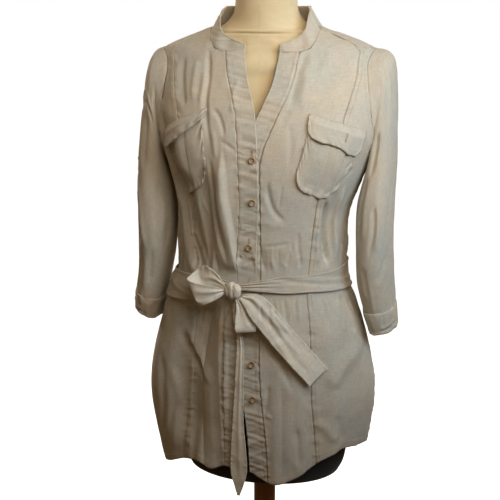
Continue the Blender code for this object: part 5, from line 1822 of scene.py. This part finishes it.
# %% Form tables
FORM_BOTTOM = 0.553
FORM_WAIST_JOIN = 0.800
NECK_SEAM = 1.371
NECK_TOP = 1.468
SHOULDER_SLACK = 0.006
DRAWN_IN = 0.0045  # how far the hidden jersey is drawn in
NECK_ROLL = (0.0026, 0.0034, 0.0022)  # rise, height over the seam and half width
NECK_GROOVE = (0.0012, 0.0010)  # depth and half width
FORM_SECTIONS = (
    (0.553, 0.147, 0.106, 0.106, 0.0, 2.1), (0.57, 0.155, 0.111, 0.111, 0.0, 2.15),
    (0.64, 0.161, 0.114, 0.117, 0.0, 2.2), (0.72, 0.163, 0.114, 0.118, 0.0, 2.2),
    (0.8, 0.152, 0.11, 0.112, 0.0, 2.2), (0.87, 0.133, 0.099, 0.098, 0.0, 2.2),
    (0.94, 0.118, 0.089, 0.086, 0.0, 2.2), (1.01, 0.124, 0.095, 0.09, 0.0, 2.2),
    (1.08, 0.136, 0.107, 0.097, 0.0, 2.2), (1.15, 0.15, 0.114, 0.101, 0.0, 2.25),
    (1.21, 0.16, 0.105, 0.101, 0.001, 2.3), (1.26, 0.17, 0.092, 0.097, 0.003, 2.3),
    (1.3, 0.178, 0.078, 0.09, 0.005, 2.2),
)
NECK_SECTIONS = (
    (NECK_SEAM, 0.113, 0.056, 0.06, 1.75), (1.379, 0.088, 0.0545, 0.058, 1.75),
    (1.386, 0.076, 0.0535, 0.0565, 1.8), (1.394, 0.0665, 0.053, 0.055, 1.9),
    (1.407, 0.058, 0.053, 0.054, 2.0), (1.427, 0.0545, 0.053, 0.0535, 2.0),
    (1.455, 0.053, 0.053, 0.053, 2.0), (NECK_TOP, 0.0515, 0.0515, 0.0515, 2.0),
)
SHOULDER_GAP = ((1.300, 0.0040), (1.345, 0.0050), (1.358, 0.0024), (1.368, 0.0012), (1.383, 0.0008))


# %% Form
def form_place(turn, height):
    """Points of the form's body; above its sections it follows the jacket's shoulders."""
    half, front, back, shift, squareness = read(FORM_SECTIONS, height)
    reach = oval(turn, half, front, back, squareness)
    angle = np.radians(turn)
    low = np.stack([shift + reach * np.sin(angle), -reach * np.cos(angle), height], axis=-1)
    slack = SHOULDER_SLACK * np.cos(angle) ** 2
    gap = CLOTH + read_one(SHOULDER_GAP, height) + slack
    high = skin(turn, height) - skin_out(turn, height) * gap[..., None]
    top = smooth_step((height - FORM_SECTIONS[-1][0]) / 0.045)[..., None]
    place = low * (1 - top) + high * top
    hidden = smooth_step((np.abs(signed(turn)) - 18.0) / 14.0) * smooth_step((height - 1.05) / 0.1)
    place = place - skin_out(turn, height) * (DRAWN_IN * hidden)[..., None]
    ring = neck_place(turn, np.full_like(height, NECK_SEAM))
    meet = smooth_step((height - 1.350) / 0.020)[..., None]
    ring[..., 2] = np.minimum(height, NECK_SEAM - SEAM)
    return place * (1 - meet) + ring * meet


def neck_place(turn, height):
    reach = oval(turn, *read(NECK_SECTIONS, height))
    angle = np.radians(turn)
    return np.stack([reach * np.sin(angle), -reach * np.cos(angle), height + 0 * turn], axis=-1)


END_STEPS = (0.985, 0.9, 0.6, 0.3, 0.0)  # each ring's size, from the edge in to the middle


def closed_ends(points, bottom, top):
    """Draws the first and last rows in to their middles, to close a tube."""
    rows = [points]
    for wanted, row, put in ((bottom, points[:1], 0), (top, points[-1:], 1)):
        if wanted:
            middle = row[:, :-1].mean(axis=1, keepdims=True)
            drawn = [middle + (row - middle) * step for step in (END_STEPS if put else END_STEPS[::-1])]
            rows = rows + drawn if put else drawn + rows
    return np.concatenate(rows)


def make_form():
    turn = np.linspace(0, 360, 145)[None, :]
    for name, low, high, rows, finish, slot in (
        ("form_lower_end", FORM_BOTTOM, FORM_WAIST_JOIN, 50, BLACK_JERSEY, "form_black_jersey"),
        ("form_torso", FORM_WAIST_JOIN + SEAM, NECK_SEAM, 130, CREAM_JERSEY, "form_jersey"),
    ):
        levels = np.linspace(low, high, rows)[:, None]
        body = closed_ends(form_place(turn + 0 * levels, levels + 0 * turn), True, True)
        cut_sheet(name, body, finish, None, wrap=True)
    levels = NECK_SEAM + (NECK_TOP - NECK_SEAM) * np.linspace(0, 1, 60)[:, None] ** 1.3
    neck = neck_place(turn, levels)
    outs = faces_out(neck)
    # the seam is drawn in, and the jersey above it rolls out and wrinkles a little
    above = levels - NECK_SEAM
    rise, middle, half = NECK_ROLL
    roll = rise * bell((above - middle) / half) - NECK_GROOVE[0] * bell(above / NECK_GROOVE[1])
    angle = np.radians(turn)
    drag = 0.0007 * wander(angle * 0.05 + above * 0.6, 0.022, 800) * bell(above / 0.03)
    drag[:, -1] = drag[:, 0]
    rim = -0.0022 * smooth_step((levels - 1.4640) / 0.004) ** 2
    neck = neck + outs * (roll + drag + rim)[..., None]
    neck = closed_ends(neck, False, True)
    cut_sheet("form_neck", neck, CREAM_JERSEY, None, wrap=True)
    print("form: neck, torso and lower end")


make_form()

# %% Stand
POLE_RADIUS = 0.021
FOOT_RADIUS = 0.170
FOOT_HEIGHT = 0.024
POLE_BOTTOM = FOOT_HEIGHT + SEAM
POLE_TOP = FORM_BOTTOM - SEAM
EASED_EDGE = 0.0012
POLE_PROFILE = (
    (0.0, POLE_BOTTOM),
    (POLE_RADIUS, POLE_BOTTOM),
    (POLE_RADIUS, POLE_TOP),
    (0.0, POLE_TOP),
)
FOOT_PROFILE = (
    (0.0, 0.0),
    (FOOT_RADIUS - 0.001, 0.0),
    (FOOT_RADIUS, 0.001),
    (FOOT_RADIUS, FOOT_HEIGHT - 0.008),
    (FOOT_RADIUS - 0.0011, FOOT_HEIGHT - 0.004),
    (FOOT_RADIUS - 0.004, FOOT_HEIGHT - 0.0011),
    (FOOT_RADIUS - 0.008, FOOT_HEIGHT),
    (0.0, FOOT_HEIGHT),
)


def turned_wood(name, node_name, profile, steps, finish):
    mesh = spun(name, profile, steps)
    mesh.shade_smooth()
    piece = add_piece(name, mesh, finish)
    bevel = piece.modifiers.new("eased edges", "BEVEL")
    bevel.width = EASED_EDGE
    bevel.segments = 3
    bevel.limit_method = "ANGLE"
    bevel.angle_limit = math.radians(35)
    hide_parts(node_name)


turned_wood("turned_pole", "pole", POLE_PROFILE, 64, POLE_WOOD)
turned_wood("turned_foot", "foot", FOOT_PROFILE, 96, FOOT_WOOD)
print("stand: pole and foot")

# %% [markdown]
# ## Sewing it together
#
# Double rows run beside the long seams, single rows along the free edges. The rows of one part of
# the jacket make one object, so that a part can be hidden or changed with its own stitches.

# %% Rows of stitches
UNDERARM_SHARE = 174 / 242  # the armhole begins at this share of a side front's levels
BELT_STITCH = (0.0012, 0.0004, 0.0003)
# How far inside its edge each row of a kind lies.
PRINCESS_ROWS = (0.0015, 0.0088)
BAND_EDGE_ROWS = (0.0014, 0.0070)
BAND_SEAM_ROWS = (0.0018, 0.0072)
ARMHOLE_ROWS = (0.0014, 0.0072)
CUFF_ROWS = (0.0016, 0.0066)
POCKET_ROWS = (0.0016, 0.0070)
FLAP_ROWS = (0.0018, 0.0072)
HEMMED = ("front_left", "front_right", "side_front_left", "side_front_right", "back")
HEMMED += ("front_band_right", "button_band_left")

# The thread of each object of stitches, and the sheets, edges and insets of its rows.
SEWN = {
    "princess_stitches": (
        SEAM_THREAD,
        ("side_front_left", "right", PRINCESS_ROWS),
        ("side_front_right", "left", PRINCESS_ROWS),
    ),
    "band_stitches": (
        THREAD,
        ("front_band_right", "right", BAND_EDGE_ROWS),
        ("front_band_right", "left", BAND_SEAM_ROWS),
        ("button_band_left", "left", BAND_EDGE_ROWS),
        ("button_band_left", "right", BAND_SEAM_ROWS),
    ),
    "armhole_and_shoulder_stitches": (
        THREAD,
        ("side_front_left", "left", ARMHOLE_ROWS, UNDERARM_SHARE),
        ("side_front_right", "right", ARMHOLE_ROWS, UNDERARM_SHARE),
        ("back", "right", ARMHOLE_ROWS),
        ("back", "left", ARMHOLE_ROWS),
    ),
    "hem_stitches": (HEM_THREAD, *((sheet, "low", (0.012,)) for sheet in HEMMED)),
    "collar_stitches": (
        THREAD,
        ("collar", "low", (0.0015, 0.0062)),
        ("collar", "high", (0.0018,)),
        ("collar", "right", (0.002,)),
        ("collar", "left", (0.002,)),
    ),
}
for name in ("cuff_left", "cuff_right"):
    SEWN[name + "_stitches"] = (THREAD, (name, "high", CUFF_ROWS), (name, "low", CUFF_ROWS[:1]))


def rows_of(sheet, edge, insets, first=0.0):
    return [inside_edge(sheet, edge, inset, first) for inset in insets]


for name, (thread, *edges) in SEWN.items():
    sew(name, sum((rows_of(*edge) for edge in edges), []), thread)
for name, side, flap_edge in (("left", 1, FLAP_EDGE_LEFT), ("right", -1, FLAP_EDGE_RIGHT)):
    pocket = ("pocket_" + name, side, POCKET_HALF_WIDTH, POCKET_MOUTH, pocket_bottom)
    flap = ("flap_" + name, side, FLAP_HALF_WIDTH, FLAP_TOP, partial(read_one, flap_edge))
    rows = [patch_row(*pocket, inset) for inset in POCKET_ROWS]
    rows += [patch_row(*flap, inset) for inset in FLAP_ROWS]
    sew(f"pocket_{name}_stitches", rows + rows_of("flap_" + name, "high", (0.0016,)), THREAD)
for name in ("belt_band", "bow_loop", "hanging_loop", "slanting_end", "hanging_end"):
    rows = []
    for edge in ("low", "high") if name == "belt_band" else ("right", "left"):
        rows += rows_of(name, edge, (0.0018,))
    if name.endswith("_end"):
        rows += rows_of(name, "high", (0.002,))
    sew(name + "_stitches", rows, THREAD, BELT_STITCH)


# %% Buttonholes
HOLE_LENGTH = 0.017
SLIT_HALF = 0.0011  # from the slit's middle to the row on each side
BAR_HALF = 0.0018
HOLE_STITCH = (0.0007, 0.0006, 0.0003)
HOLE_STEP = 0.0011
HOLE_OVER_BUTTON = 0.0075  # each hole shows above its button, on the line of the buttons
FOOT_OF_V = 1.222


def bar_of(middle, run, out, half, count):
    """A straight row of this many corners, half as long each way from its middle."""
    steps = np.linspace(-half, half, count)[:, None]
    return middle + run * steps, np.tile(out, (count, 1))


def buttonhole(middle, run, out, length=HOLE_LENGTH):
    """Two close rows of small stitches on each side of a slit, and a bar at each end."""
    across = np.cross(run, out)
    rows = [bar_of(middle + across * (SLIT_HALF * side), run, out, length / 2, 9) for side in (-1, 1)]
    return rows + [bar_of(middle + run * (length / 2 * end), across, out, BAR_HALF, 5) for end in (-1, 1)]


def sheet_point(name, column, row):
    """A point of a sheet at these shares of its width and height, with its upward run and face."""
    points = SHEETS[name]
    i = round(row * (points.shape[0] - 1))
    j = round(column * (points.shape[1] - 1))
    run = unit(points[min(i + 2, len(points) - 1), j] - points[i - 2, j])
    return points[i, j], run, faces_out(points)[i, j]


HOLES = []
band = SHEETS["front_band_right"]
band_out = faces_out(band)
level = np.abs(band[:, 10, 2] - FOOT_OF_V).argmin()
rows = [(band[level + k, 1:-1], band_out[level + k, 1:-1]) for k in (0, 3)]
sew("foot_of_v_stitches", rows, THREAD)
for across, height in BUTTONS_ON_RIGHT_BAND:
    spot = on_front(across, height + HOLE_OVER_BUTTON, 0.0).ravel()
    gaps = np.linalg.norm(band - spot, axis=2)
    i, j = np.unravel_index(gaps.argmin(), gaps.shape)
    HOLES += buttonhole(band[i, j], unit(band[i + 3, j] - band[i - 3, j]), band_out[i, j])
HOLES += buttonhole(*sheet_point("flap_left", 0.66, 0.50), length=0.014)
HOLES += buttonhole(*sheet_point("flap_right", 0.42, 0.45), length=0.012)
sew("buttonhole_stitches", HOLES, HOLE_THREAD, HOLE_STITCH, HOLE_STEP)

# %% [markdown]

# %% [markdown]
# ## Stage and light
#
# A white paper floor in a white room. The main light is soft, close by, above and on the wearer's
# left, so it fades quickly across the jacket and the folds on the far side sink into brown shadow. A
# cool light further to that side gives the linen its grey cast, a small one lifts the far shoulder,
# two lamps behind edge the sleeves and light the back, and the room adds a faint warm fill.

# %% Stage and light
def area_light(name, place, aim, size, power, colour, spread=180):
    data = bpy.data.lights.new(name, "AREA")
    data.size = size
    data.spread = math.radians(spread)
    data.energy = power
    data.color = linear(colour)[:3]
    lamp = bpy.data.objects.new(name, data)
    lamp.location = place
    lamp.rotation_euler = (Vector(aim) - Vector(place)).to_track_quat("-Z", "Y").to_euler()
    lamp.visible_camera = False
    bpy.context.scene.collection.objects.link(lamp)


area_light("key", (0.386, -0.611, 1.634), (0.08, -0.08, 1.12), 0.6, 4.85, "#fff1de")
area_light("side", (1.10, -0.669, 1.669), (0.08, -0.08, 1.12), 0.6, 1.7, "#c0e3ff", 80)
area_light("shoulder", (-0.42, -0.35, 1.85), (-0.16, -0.05, 1.36), 0.3, 0.055, "#fff1de", 35)
area_light("behind_right", (-1.6, 1.3, 1.7), (0, 0, 1.0), 1.2, 24.0, "#fff2e0")
area_light("behind_left", (1.4, 1.9, 1.9), (0, 0, 1.0), 1.2, 21.0, "#fff2e0")


def make_room():
    """The room lights everything with a faint warm fill, and is seen as plain white."""
    room = bpy.data.worlds.new("room")
    room.use_nodes = True
    fill = room.node_tree.nodes["Background"]
    fill.inputs["Color"].default_value = linear("#ffd099")
    fill.inputs["Strength"].default_value = 0.095
    seen = node(room, "ShaderNodeBackground", Color=(1.0, 1.0, 1.0, 1.0))
    ray = node(room, "ShaderNodeLightPath").outputs["Is Camera Ray"]
    both = node(room, "ShaderNodeMixShader", {0: ray, 1: fill.outputs[0], 2: seen.outputs[0]})
    room.node_tree.links.new(both.outputs[0], room.node_tree.nodes["World Output"].inputs["Surface"])
    bpy.context.scene.world = room
    bpy.context.scene.view_settings.view_transform = "Standard"


def make_floor():
    finish = new_finish(
        "pale_studio_paper",
        Base_Color=linear("#f4f3f1"),
        Roughness=0.95,
        Emission_Color=(1.0, 1.0, 1.0, 1.0),
        Emission_Strength=1.0,
    )
    work = bmesh.new()
    bmesh.ops.create_circle(work, cap_ends=True, segments=96, radius=40.0)
    mesh = mesh_from(work, "studio_paper")
    mesh.materials.append(finish)
    paper = bpy.data.objects.new("studio_paper", mesh)
    bpy.context.scene.collection.objects.link(paper)
    paper.visible_diffuse = False
    paper.visible_glossy = False


make_room()
make_floor()
print("stage: a white floor and", len(bpy.data.lights), "lights")
